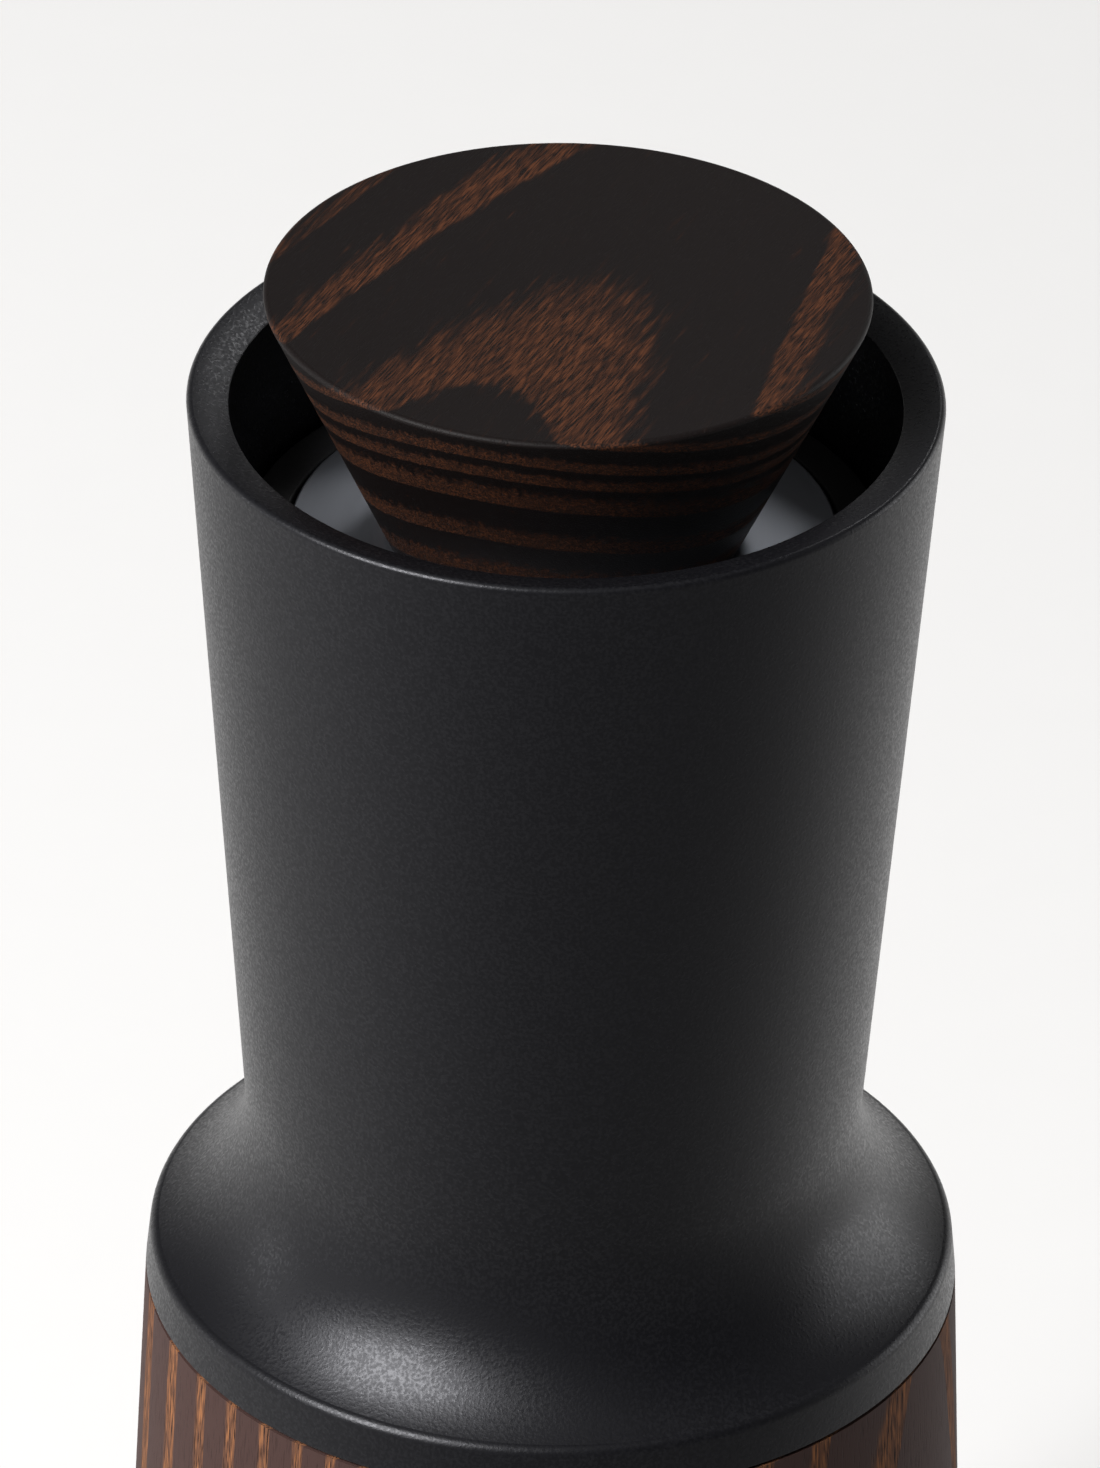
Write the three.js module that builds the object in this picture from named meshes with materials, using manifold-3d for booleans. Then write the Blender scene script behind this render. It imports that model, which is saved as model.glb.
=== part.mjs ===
// Hand coffee grinder: a turned wooden body on a catch cup, a black cup-shaped head that is the
// crank, and a conical wooden lid. Millimetres, +Z up, origin at the centre of the foot ring's
// underside, which stands on the table.
import * as THREE from 'three';
import { mergeVertices } from 'three/addons/utils/BufferGeometryUtils.js';
import Module from 'manifold-3d';

const wasm = await Module();
wasm.setup();

// ---- Driving dimensions -----------------------------------------------------------------------
// Clearances
const GAP = 0.3; // between pieces that seat on, in or against each other
const RUNNING = 0.1; // radial, shaft in bearing
const SEAM = 0.4; // between the wooden body and the catch cup
const HEX_GAP = 1.2 * GAP; // corner to corner, so that the flats keep GAP

// Catch cup, from the table up
const FOOT_PROUD = 1.0; // foot ring below the wood
const FOOT_SINK = 1.4; // foot ring inside its groove
const FOOT_WIDTH = 4.5;
const FOOT_INSET = 3.2; // from the cup's outer wall
const CUP_HEIGHT = 49.2;
const CUP_FLOOR = 5.0;
const CUP_WALL = 4.8; // at the cup's rim, down to the steel liner
const BASE_EDGE = 1.2; // rounding at the bottom of the wood
const LINER_WALL = 0.8;
const LINER_CORNER = 3.0;
const SPIGOT_HEIGHT = 9.8; // liner above the wooden cup

// Wooden body
const BODY_HEIGHT = 54.2;
const BODY_TAPER = 0.044; // radius gained per mm downwards
const BODY_WALL = 7.0; // at the top, down to the bore
const SEAT_WIDTH = 5.0; // counterbore for the frame's flange
const SOCKET_PLAY = 0.05; // beyond GAP, round the liner's spigot
const SOCKET_WALL = 1.55;
const SOCKET_HEIGHT = 10.0;
const SEAL_HEIGHT = 1.8;
const SEAL_DEPTH = 0.7;
const SEAL_RISE = 3.4; // seal above the socket's lower edge
const SEAL_EDGE = 0.2;

// Bearing frame and bearings
const FRAME_WALL = 2.8;
const FLANGE_THICKNESS = 2.4;
const GLIDE_THICKNESS = 0.75;
const COLLAR_RISE = 1.8; // funnel's rim above the body
const COLLAR_LIP = 0.8;
const THROAT_WALL = 5.7; // frame wall at the bottom of the funnel
const THROAT_DROP = 11.8; // funnel's bottom below the body's top
const THROAT_LENGTH = 3.0;
const FRAME_LENGTH = 48.5; // tube below the body's top
const ARM_WIDTH = 6.0;
const ARM_HEIGHT = 8.0;
const ARM_DROP = 4.8;
const ARM_ROOT = 1.5; // arm's end inside the funnel's wall
const BEARING_R = 8.0;
const BEARING_HEIGHT = 5.0;
const BEARING_SPAN = 16.7; // top of the upper one to the bottom of the lower one
const BEARING_DROP = 1.2; // upper bearing's top below the body's top
const BEARING_SHIELD = { inner: 5.3, outer: 6.9, dip: 0.25 }; // between the races
const BEARING_LEDGE = 2.0; // hub's ledge between the two bearings
const HUB_WALL = 2.25;
const FRAME_SCREW = { head: 1.8, shank: 1.0, headHeight: 1.3, length: 9 };

// Head: the crank
const RIM_R = 30.0;
const SLEEVE_LENGTH = 65.0; // from the rim down to the flare
const SLEEVE_TAPER = 0.0714; // radius lost per mm downwards
const SLEEVE_WALL = 3.35;
const RIM_FALL = 0.88; // the rim's face slopes in by this much
const RIM_EDGE = 0.5;
const FLARE_REACH = 7.77; // skirt's edge beyond the neck
const FLARE_ANGLE = 61.7 * Math.PI / 180; // the skirt's slope at its edge, from vertical
const FLARE_STEPS = 8;
const BAND_HEIGHT = 3.75;
const BAND_STEP = 0.37; // band's lower edge beyond its upper edge
const HEAD_SEAM = 0.3; // between the skirt and the wood
const HEAD_SOCKET_DEPTH = 5.75; // flat-bottomed recess under the skirt
const COLLAR_RUNNING = 0.8; // frame's collar inside that recess
const HOPPER_RING_HEIGHT = 4.3;
const HOPPER_LIP = 5.2; // ring's inner edge from the sleeve's wall
const SPIDER_HEIGHT = 3.5;
const SPIDER_HUB_R = 7.0;
const SPIDER_HUB_HEIGHT = 6.0;
const SPIDER_SCREW = { head: 1.6, shank: 1.0, headHeight: 1.7, length: 6.6 };
const SPIDER_HOLE_SPARE = 0.4; // blind hole beyond its screw's end

// Shaft and burrs
const SHAFT_R = 4.0;
const SHAFT_THREAD_R = 3.0;
const SHAFT_THREAD_LENGTH = 4.6;
const NUT = { corner: 5.6, flats: 3.2, domeFoot: 3.0, domeR: 4.6, domeRise: 3.0 };
const DOME_SQUASH = 0.65; // dome's height to its radius
const DOME_START = 0.15; // radians between the dome's outer points and its axis or foot
const SPACER_R = 5.6;
const BURR_HEIGHT = 18.6;
const BURR_NECK = 2.6; // plain neck on top of the inner burr
const BURR_NECK_R = 6.3;
const BURR_TOP_R = 8.8;
const BURR_STEPS = 4; // along the cone
const BURR_EDGE_HEIGHT = 0.8;
const BURR_CLEARANCE = 0.65; // ring burr to inner burr, level with the exit
const BURR_THROAT = 4.2; // height of the narrow grinding zone
const TEETH = 20; // fine teeth round each burr's exit
const FLUTES = 8; // coarse ones round the inner burr's cone
const FLUTE_DEPTH = { bottom: 0.5, gain: 1.9 };
const INNER_TWIST = 0.008; // turns per mm of height
const RING_TWIST = 0.004;
const RING_BURR_HEIGHT = 17.7;
const RING_BURR_WALL = 2.1; // at the exit
const RING_MOUTH_WALL = 2.2; // at the top
const RING_TOOTH = 0.8;
const THROAT_SLOPE = 0.5; // radius lost per mm above the exit
const WAIST_FLARE = 1.0; // radius gained over the next length of the throat
const CARRIER_WALL = 2.1;
const CARRIER_LIP = 1.8;
const CARRIER_FLOOR = 3.0;
const KEY = { width: 4.0, depth: 1.4, height: 10.0, rise: 5.0 };
const BOLT = { head: 4.6, headHeight: 4.0, shank: 2.0, length: 10.0 };
const WASHER = { radius: 7.0, height: 1.5 };

// Grind setting
const DIAL_TRAVEL = 0.42; // how far the dial's thread moves the carrier each way
const DIAL_HEIGHT = 4.2;
const DIAL_EDGE = 0.6;
const DIAL_NOTCHES = 16;
const DIAL_NOTCH_DEPTH = 0.9;
const SPRING = { thickness: 0.5, wave: 0.9, waves: 3, width: 1.5, inset: 0.2 };

// Lid
const LID_DEPTH = 12.44; // plate's top below the rim
const PLATE_THICKNESS = 1.2;
const LEDGE_WIDTH = 3.96; // hopper ring shown round the plate
const GASKET_THICKNESS = 1.0;
const GASKET_WIDTH = 1.4;
const GASKET_INSET = 0.1; // from the plate's edge
const FINGER_GAP = 2.63; // knob's edge to the rim's inner edge, in plan
const KNOB_RISE = 9.44; // knob's top above the rim
const KNOB_TAPER = 0.455; // radius lost per mm downwards
const KNOB_EDGE = 0.3;
const LID_SCREW = { head: 4.0, shank: 1.9, headHeight: 2.0, length: 13.0 };

const FINE = 48; // facets round the outside pieces
const COARSE = 32; // facets round the inside pieces
const SMALL = 12; // facets round a screw
const CORNER_STEPS = 3;
const RIM_STEPS = 2;
const THROUGH = 1; // how far a cutting shape runs past a face, or an arm into what it joins
const OVERLAP = 0.2; // between two stacked shapes that are joined
const MERGED = 1e-4; // points closer than this are one

// ---- Heights and radii that follow ------------------------------------------------------------
const cup0 = FOOT_PROUD;
const cup1 = cup0 + CUP_HEIGHT;
const body0 = cup1 + SEAM;
const body1 = body0 + BODY_HEIGHT;
const skirt0 = body1 + HEAD_SEAM;
const band1 = skirt0 + BAND_HEIGHT;

const neckR = RIM_R - SLEEVE_TAPER * SLEEVE_LENGTH;
const neckAngle = -Math.atan(SLEEVE_TAPER);
const flareR = FLARE_REACH / (Math.cos(neckAngle) - Math.cos(FLARE_ANGLE));
const flareDrop = flareR * (Math.sin(FLARE_ANGLE) - Math.sin(neckAngle));
const neckZ = band1 + flareDrop;
const rimZ = neckZ + SLEEVE_LENGTH;
const edgeR = neckR + FLARE_REACH;
const skirtR = edgeR + BAND_STEP;

const woodR = (z) => skirtR + BODY_TAPER * (skirt0 - z);
const boreR = (z) => RIM_R - SLEEVE_WALL - SLEEVE_TAPER * (rimZ - z);
const neckBoreR = neckR - SLEEVE_WALL;

const bodyBoreR = skirtR - BODY_WALL;
const seatR = bodyBoreR + SEAT_WIDTH;
const frameR = bodyBoreR - GAP;
const flangeR = seatR - GAP;
const flange1 = body1 - GLIDE_THICKNESS - GAP + HEAD_SEAM / 2;
const flange0 = flange1 - FLANGE_THICKNESS;
const frameScrewR = (frameR + flangeR) / 2;
const headSocketR = frameR + COLLAR_RUNNING;
const socketTop = skirt0 + HEAD_SOCKET_DEPTH + HEAD_SEAM / 2;

const chamberR = frameR - FRAME_WALL;
const throatR = frameR - THROAT_WALL;
const throat1 = body1 - THROAT_DROP;
const chamber1 = throat1 - THROAT_LENGTH;
const frame0 = body1 - FRAME_LENGTH;
const bearing1 = body1 - BEARING_DROP;
const bearing0 = bearing1 - BEARING_SPAN;
const hubR = BEARING_R + GAP + HUB_WALL;

const spider1 = socketTop - GAP;
const spider0 = spider1 - SPIDER_HEIGHT;
const spiderHub0 = spider0 - GAP;
const spiderHub1 = spiderHub0 + SPIDER_HUB_HEIGHT;
const spiderRingR = headSocketR - GAP;
const spiderScrewR = (neckBoreR + headSocketR) / 2;

const burr1 = bearing0 - GAP;
const burr0 = burr1 - BURR_HEIGHT;
const carrierR = chamberR - GAP;
const ringBurrR = carrierR - CARRIER_WALL;
const ringBurr0 = burr0 + GAP;
const ringBurr1 = ringBurr0 + RING_BURR_HEIGHT;
const exitR = ringBurrR - RING_BURR_WALL;
const burrR = exitR - BURR_CLEARANCE;
const carrier0 = ringBurr0 - GAP - CARRIER_FLOOR;
const outletR = ringBurrR - CARRIER_LIP;
const dial1 = carrier0 - DIAL_TRAVEL - GAP;
const dialFlange1 = Math.min(frame0, dial1) - GAP;

const linerR = woodR(body0) - CUP_WALL;
const liner0 = cup0 + CUP_FLOOR + GAP;
const liner1 = cup1 + SPIGOT_HEIGHT;
const socketR = linerR + GAP + SOCKET_PLAY;
const socket0 = body0 + GAP;
const socket1 = socket0 + SOCKET_HEIGHT;

const plate1 = rimZ - LID_DEPTH;
const plate0 = plate1 - PLATE_THICKNESS;
const plateR = boreR(plate1) - LEDGE_WIDTH;
const gasket0 = plate0 - GAP - GASKET_THICKNESS;
const hopperRing1 = plate1 - GAP;
const hopperRing0 = hopperRing1 - HOPPER_RING_HEIGHT;
const hopperLipR = boreR(plate1) - HOPPER_LIP - GAP;
const knob0 = plate1 + GAP;
const knob1 = rimZ + KNOB_RISE;
const knobR = RIM_R - SLEEVE_WALL - FINGER_GAP;

// ---- Materials --------------------------------------------------------------------------------
const finish = (color, roughness, metalness) =>
  new THREE.MeshStandardMaterial({ color, roughness, metalness });
const ash = finish(0x3a1f14, 0.5, 0);
const powderCoat = finish(0x1b1b1d, 0.65, 0.1);
const steel = finish(0x9a9da3, 0.35, 1);
const brightSteel = finish(0xb8babd, 0.25, 1);
const aluminium = finish(0xa6a8aa, 0.4, 1);
const nylon = finish(0x202124, 0.55, 0);
const acetal = finish(0xd9d7d0, 0.4, 0);
const silicone = finish(0x26272a, 0.8, 0);

// ---- Making solids ----------------------------------------------------------------------------
// A closed three.js geometry as a solid: only positions, shared vertices, faces pointing out.
function solid(geometry) {
  geometry.deleteAttribute('normal');
  geometry.deleteAttribute('uv');
  const merged = mergeVertices(geometry, MERGED);
  const at = merged.getAttribute('position').array;
  const index = merged.getIndex().array;
  const corners = [];
  let volume = 0;
  for (let i = 0; i < index.length; i += 3) {
    const [a, b, c] = [index[i], index[i + 1], index[i + 2]];
    if (a === b || b === c || c === a) continue;
    corners.push(a, b, c);
    const [p, q, r] = [a, b, c].map((n) => new THREE.Vector3().fromArray(at, 3 * n));
    volume += p.dot(q.cross(r));
  }
  if (volume < 0) corners.reverse();
  return new wasm.Manifold(new wasm.Mesh({
    numProp: 3,
    vertProperties: new Float32Array(at),
    triVerts: new Uint32Array(corners),
  }));
}

// A profile of [radius, height] points turned about Z. It starts and ends on the axis, or is
// closed into a ring. shape(radius, height, angle) may move each turned point.
function turned(profile, facets, shape) {
  const points = profile.map(([r, z]) => new THREE.Vector2(r, z));
  const onAxis = profile[0][0] === 0;
  if (!onAxis) points.push(points[0].clone());
  const geometry = new THREE.LatheGeometry(points, facets);
  geometry.rotateX(Math.PI / 2);
  if (shape) {
    const at = geometry.getAttribute('position');
    for (let i = 0; i < at.count; i += 1) {
      const [x, y, z] = [at.getX(i), at.getY(i), at.getZ(i)];
      const angle = Math.atan2(y, x);
      const [r, h] = shape(Math.hypot(x, y), z, angle);
      at.setXYZ(i, r * Math.cos(angle), r * Math.sin(angle), h);
    }
  }
  return solid(geometry);
}

// A plain ring or tube between two radii and two heights.
const ring = (inner, outer, z0, z1, facets = COARSE) =>
  turned([[inner, z0], [outer, z0], [outer, z1], [inner, z1]], facets);

// A round rod about a vertical line through (x, y).
function rod(radius, z0, z1, facets = SMALL, x = 0, y = 0) {
  const geometry = new THREE.CylinderGeometry(radius, radius, z1 - z0, facets);
  geometry.rotateX(Math.PI / 2);
  geometry.translate(x, y, (z0 + z1) / 2);
  return solid(geometry);
}

const hexagon = (radius, z0, z1) => rod(radius, z0, z1, 6);

// A bar that runs out from the axis at an angle, between two radii.
function arm(width, inner, outer, z0, z1, angle) {
  const geometry = new THREE.BoxGeometry(outer - inner, width, z1 - z0);
  geometry.translate((inner + outer) / 2, 0, (z0 + z1) / 2);
  geometry.rotateZ(angle);
  return solid(geometry);
}

const join = (first, ...others) => others.reduce((whole, next) => whole.add(next), first);
const cut = (first, ...others) => others.reduce((whole, next) => whole.subtract(next), first);

// Points of a quarter-round or any other arc, with angles in radians.
function arc(r, z, radius, from, to, steps) {
  return Array.from({ length: steps + 1 }, (_, i) => {
    const a = from + (to - from) * i / steps;
    return [r + radius * Math.cos(a), z + radius * Math.sin(a)];
  });
}

// A screw standing on its head's far face: head below, shank above, or the other way up.
function screw({ head, shank, headHeight, length }, seat, x, y, up) {
  const way = up ? 1 : -1;
  const [h0, h1] = [seat - way * headHeight, seat].sort((a, b) => a - b);
  const [s0, s1] = [seat - way * OVERLAP, seat + way * length].sort((a, b) => a - b);
  return join(rod(head, h0, h1, SMALL, x, y), rod(shank, s0, s1, SMALL, x, y));
}

// Three places round the axis, the first one at an angle in degrees.
const threeAngles = (first) => [0, 1, 2].map((i) => (first + 120 * i) * Math.PI / 180);
const ARM_ANGLES = threeAngles(90);
const SCREW_ANGLES = threeAngles(30);

const grinder = new THREE.Group();

function piece(name, shape, material) {
  const mesh = shape.getMesh();
  const geometry = new THREE.BufferGeometry();
  geometry.setAttribute('position', new THREE.BufferAttribute(mesh.vertProperties, 3));
  geometry.setIndex(new THREE.BufferAttribute(mesh.triVerts, 1));
  geometry.computeVertexNormals();
  const made = new THREE.Mesh(geometry, material);
  made.name = name;
  grinder.add(made);
}

// ---- Catch cup --------------------------------------------------------------------------------
const footOuterR = woodR(cup0) - FOOT_INSET;
const footInnerR = footOuterR - FOOT_WIDTH;
const linerCentre = [linerR - LINER_CORNER, liner0 + LINER_CORNER]; // of its rounded lower corner

function catchCupShell() {
  const grooveTop = cup0 + FOOT_SINK + GAP;
  return turned([
    [0, cup0],
    [footInnerR - GAP, cup0], [footInnerR - GAP, grooveTop],
    [footOuterR + GAP, grooveTop], [footOuterR + GAP, cup0],
    ...arc(woodR(cup0) - BASE_EDGE, cup0 + BASE_EDGE, BASE_EDGE, -Math.PI / 2, 0, CORNER_STEPS),
    [woodR(cup1), cup1], [linerR + GAP, cup1],
    ...arc(...linerCentre, LINER_CORNER + GAP, 0, -Math.PI / 2, CORNER_STEPS),
    [0, cup0 + CUP_FLOOR],
  ], FINE);
}

function catchCupLiner() {
  const inner = linerR - LINER_WALL;
  const corner = LINER_CORNER - LINER_WALL;
  return turned([
    [0, liner0],
    ...arc(...linerCentre, LINER_CORNER, -Math.PI / 2, 0, CORNER_STEPS),
    [linerR, liner1], [inner, liner1],
    ...arc(...linerCentre, corner, 0, -Math.PI / 2, CORNER_STEPS),
    [0, liner0 + LINER_WALL],
  ], FINE);
}

piece('foot_ring', ring(footInnerR, footOuterR, 0, cup0 + FOOT_SINK, FINE), silicone);
piece('catch_cup_shell', catchCupShell(), ash);
piece('catch_cup_liner', catchCupLiner(), steel);

// ---- Body -------------------------------------------------------------------------------------
const socketOuterR = socketR + SOCKET_WALL;
const seal0 = socket0 + SEAL_RISE;

// Places of the three screws through the frame's flange.
const frameScrews = SCREW_ANGLES.map((a) => [frameScrewR * Math.cos(a), frameScrewR * Math.sin(a)]);

function bodyShell() {
  const shell = turned([
    [socketOuterR + GAP, body0], [woodR(body0), body0],
    [woodR(body1), body1], [seatR, body1],
    [seatR, flange0 - GAP], [bodyBoreR, flange0 - GAP],
    [bodyBoreR, socket1 + GAP], [socketOuterR + GAP, socket1 + GAP],
  ], FINE);
  const pilotR = FRAME_SCREW.shank + GAP;
  const pilot0 = flange1 - FRAME_SCREW.headHeight - FRAME_SCREW.length - GAP;
  return cut(shell, ...frameScrews.map(([x, y]) => rod(pilotR, pilot0, body1 + THROUGH, SMALL, x, y)));
}

function cupSocket() {
  const groove = ring(0.5 * socketR, socketR + SEAL_DEPTH + GAP, seal0 - GAP, seal0 + SEAL_HEIGHT + GAP);
  return cut(ring(socketR, socketOuterR, socket0, socket1), groove);
}

function cupSeal() {
  const [inner, outer] = [linerR + GAP, socketR + SEAL_DEPTH];
  const [z0, z1] = [seal0, seal0 + SEAL_HEIGHT];
  return turned([
    [inner, z0 + SEAL_EDGE], [inner + SEAL_EDGE, z0], [outer - SEAL_EDGE, z0], [outer, z0 + SEAL_EDGE],
    [outer, z1 - SEAL_EDGE], [outer - SEAL_EDGE, z1], [inner + SEAL_EDGE, z1], [inner, z1 - SEAL_EDGE],
  ], COARSE);
}

// Tube with a funnel in its top, a flange on the wood, and a bearing hub held by three arms.
function bearingFrame() {
  const tube = turned([
    [frameR, frame0], [frameR, flange0], [flangeR, flange0], [flangeR, flange1],
    [frameR, flange1], [frameR, body1 + COLLAR_RISE], [frameR - COLLAR_LIP, body1 + COLLAR_RISE],
    [throatR, throat1], [throatR, chamber1], [chamberR, chamber1], [chamberR, frame0],
  ], COARSE);
  const arms0 = bearing1 - ARM_DROP - ARM_HEIGHT;
  const arms = ARM_ANGLES.map((a) =>
    arm(ARM_WIDTH, hubR - THROUGH, throatR + ARM_ROOT, arms0, arms0 + ARM_HEIGHT, a));
  const hub = rod(hubR, bearing0 - GAP / 2, bearing1 + GAP / 2, COARSE);
  const seatBore = BEARING_R + GAP;
  const [shankR, headR] = [FRAME_SCREW.shank + GAP, FRAME_SCREW.head + GAP];
  const head0 = flange1 - FRAME_SCREW.headHeight - GAP;
  const keyway1 = carrier0 + KEY.rise + KEY.height + DIAL_TRAVEL + GAP;
  const holes = [
    rod(BEARING_R - BEARING_LEDGE, bearing0 - THROUGH, bearing1 + THROUGH, COARSE),
    rod(seatBore, bearing0 - THROUGH, bearing0 + BEARING_HEIGHT + GAP, COARSE),
    rod(seatBore, bearing1 - BEARING_HEIGHT - GAP, bearing1 + THROUGH, COARSE),
    ...frameScrews.map(([x, y]) => rod(shankR, flange0 - THROUGH, flange1 + THROUGH, SMALL, x, y)),
    ...frameScrews.map(([x, y]) => rod(headR, head0, flange1 + THROUGH, SMALL, x, y)),
    ...[0, Math.PI].map((a) => arm(KEY.width + 2 * GAP, chamberR - THROUGH,
      chamberR + KEY.depth + GAP, frame0 - THROUGH, keyway1, a)),
  ];
  return cut(join(tube, ...arms, hub), ...holes);
}

// Sealed ball bearing: a shallow step in its top face shows the races and the shield.
function bearing(z0) {
  const [z1, inner] = [z0 + BEARING_HEIGHT, SHAFT_R + RUNNING];
  const shieldZ = z1 - BEARING_SHIELD.dip;
  return turned([
    [inner, z0], [BEARING_R, z0], [BEARING_R, z1], [BEARING_SHIELD.outer, z1],
    [BEARING_SHIELD.outer, shieldZ], [BEARING_SHIELD.inner, shieldZ], [BEARING_SHIELD.inner, z1],
    [inner, z1],
  ], COARSE);
}

piece('body_shell', bodyShell(), ash);
piece('cup_socket', cupSocket(), aluminium);
piece('cup_seal', cupSeal(), silicone);
piece('bearing_frame', bearingFrame(), nylon);
piece('upper_bearing', bearing(bearing1 - BEARING_HEIGHT), brightSteel);
piece('lower_bearing', bearing(bearing0), brightSteel);
const glide0 = flange1 + GAP;
piece('glide_ring', ring(headSocketR + GAP, flangeR, glide0, glide0 + GLIDE_THICKNESS), acetal);
frameScrews.forEach(([x, y], i) => {
  const seat = flange1 - FRAME_SCREW.headHeight;
  piece(`frame_screw_${i + 1}`, screw(FRAME_SCREW, seat, x, y, false), steel);
});

// ---- Grind setting ----------------------------------------------------------------------------
// Teeth run round a burr as a saw wave that twists with height.
function saw(angle, z, teeth, twist) {
  const turns = teeth * (angle / (2 * Math.PI) + z * twist);
  return turns - Math.floor(turns);
}

function ringBurr() {
  const narrow = exitR - THROAT_SLOPE * BURR_THROAT;
  const toothed = ringBurrR - RING_BURR_WALL / 2; // only points inside this radius are
  return turned([
    [exitR, ringBurr0], [ringBurrR, ringBurr0], [ringBurrR, ringBurr1],
    [ringBurrR - RING_MOUTH_WALL, ringBurr1], [narrow + WAIST_FLARE, ringBurr0 + 2 * BURR_THROAT],
    [narrow, ringBurr0 + BURR_THROAT],
  ], 3 * TEETH, (r, z, a) =>
    (r < toothed ? [r + RING_TOOTH * saw(a, z, TEETH, RING_TWIST), z] : [r, z]));
}

function burrCarrier() {
  const inner = ringBurrR + GAP;
  const tube = turned([
    [outletR, carrier0], [carrierR, carrier0], [carrierR, ringBurr1], [inner, ringBurr1],
    [inner, ringBurr0 - GAP], [outletR, ringBurr0 - GAP],
  ], COARSE);
  const keys = [0, Math.PI].map((a) => arm(KEY.width, carrierR - THROUGH, chamberR + KEY.depth,
    carrier0 + KEY.rise, carrier0 + KEY.rise + KEY.height, a));
  return join(tube, ...keys);
}

// Threaded ring under the carrier, with a notched grip that is turned by hand.
function adjustDial() {
  const grip0 = dialFlange1 - DIAL_HEIGHT;
  const notch = (a) => DIAL_NOTCH_DEPTH * Math.max(0, Math.cos(DIAL_NOTCHES * a));
  const notched = (carrierR + frameR) / 2; // only points outside this radius are
  return turned([
    [outletR, grip0], [frameR - DIAL_EDGE, grip0], [frameR, grip0 + DIAL_EDGE],
    [frameR, dialFlange1 - DIAL_EDGE], [frameR - DIAL_EDGE, dialFlange1],
    [carrierR, dialFlange1], [carrierR, dial1], [outletR, dial1],
  ], 4 * DIAL_NOTCHES, (r, z, a) => (r > notched ? [r - notch(a), z] : [r, z]));
}

// Flat ring bent into waves, between the frame's shoulder and the carrier.
function waveSpring() {
  const middle = (ringBurr1 + DIAL_TRAVEL + chamber1) / 2;
  const outer = carrierR - SPRING.inset;
  const half = SPRING.thickness / 2;
  return turned([
    [outer - SPRING.width, middle - half], [outer, middle - half],
    [outer, middle + half], [outer - SPRING.width, middle + half],
  ], COARSE, (r, z, a) => [r, z + SPRING.wave * Math.sin(SPRING.waves * a)]);
}

piece('ring_burr', ringBurr(), steel);
piece('burr_carrier', burrCarrier(), aluminium);
piece('adjust_dial', adjustDial(), aluminium);
piece('wave_spring', waveSpring(), brightSteel);

// ---- Head -------------------------------------------------------------------------------------
const spiderScrews = SCREW_ANGLES.map((a) => [spiderScrewR * Math.cos(a), spiderScrewR * Math.sin(a)]);

function crankSleeve() {
  const rimInnerR = RIM_R - SLEEVE_WALL;
  const flare = Array.from({ length: FLARE_STEPS + 1 }, (_, i) => {
    const a = FLARE_ANGLE + (neckAngle - FLARE_ANGLE) * i / FLARE_STEPS;
    return [
      neckR + flareR * (Math.cos(neckAngle) - Math.cos(a)),
      neckZ - flareR * (Math.sin(a) - Math.sin(neckAngle)),
    ];
  });
  const shell = turned([
    [headSocketR, skirt0 + HEAD_SEAM / 2], [seatR, skirt0 + HEAD_SEAM / 2], [seatR, skirt0],
    [skirtR, skirt0], ...flare,
    ...arc(RIM_R - RIM_EDGE, rimZ - RIM_EDGE, RIM_EDGE, 0, Math.PI / 2, RIM_STEPS),
    [rimInnerR, rimZ - RIM_FALL], [neckBoreR, neckZ],
    [neckBoreR, socketTop], [headSocketR, socketTop],
  ], FINE);
  const screwTop = spider0 + SPIDER_SCREW.headHeight + SPIDER_SCREW.length;
  const [holeR, hole0, hole1] =
    [SPIDER_SCREW.shank + GAP, socketTop - THROUGH, screwTop + SPIDER_HOLE_SPARE];
  return cut(shell, ...spiderScrews.map(([x, y]) => rod(holeR, hole0, hole1, SMALL, x, y)));
}

// Black ledge low in the mouth, on which the lid's plate and gasket rest.
function hopperRing() {
  const lip1 = gasket0 - GAP;
  return turned([
    [hopperLipR, hopperRing0], [boreR(hopperRing0) - GAP, hopperRing0],
    [boreR(hopperRing1) - GAP, hopperRing1], [plateR + GAP, hopperRing1],
    [plateR + GAP, lip1], [hopperLipR, lip1],
  ], FINE);
}

// Three arms between the hub on the shaft and a ring screwed up under the sleeve's shoulder.
function driveSpider() {
  const outer = ring(neckBoreR + GAP, spiderRingR, spider0, spider1);
  const arms = ARM_ANGLES.map((a) =>
    arm(ARM_WIDTH, SPIDER_HUB_R - THROUGH, neckBoreR + THROUGH, spider0, spider1, a));
  const hub = rod(SPIDER_HUB_R, spiderHub0, spiderHub1, COARSE);
  const [shankR, headR] = [SPIDER_SCREW.shank + GAP, SPIDER_SCREW.head + GAP];
  const [below, head1] = [spider0 - THROUGH, spider0 + SPIDER_SCREW.headHeight + GAP];
  const holes = [
    hexagon(SHAFT_R + HEX_GAP, spiderHub0 - THROUGH, spiderHub1 + THROUGH),
    ...spiderScrews.map(([x, y]) => rod(shankR, below, spider1 + THROUGH, SMALL, x, y)),
    ...spiderScrews.map(([x, y]) => rod(headR, below, head1, SMALL, x, y)),
  ];
  return cut(join(outer, ...arms, hub), ...holes);
}

// Round in the bearings, hexagonal in the spider and in the burr, threaded on top.
function driveShaft() {
  const bottom = burr0 + 2 * GAP;
  const shaft = join(
    hexagon(SHAFT_R, bottom, bearing0 + OVERLAP),
    rod(SHAFT_R, bearing0, spiderHub0, COARSE),
    hexagon(SHAFT_R, spiderHub0 - OVERLAP, spiderHub1),
    rod(SHAFT_THREAD_R, spiderHub1 - OVERLAP, spiderHub1 + SHAFT_THREAD_LENGTH, COARSE),
  );
  const hole1 = burr0 + BOLT.length + THROUGH;
  return cut(shaft, rod(BOLT.shank + GAP, bottom - THROUGH, hole1, SMALL));
}

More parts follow.
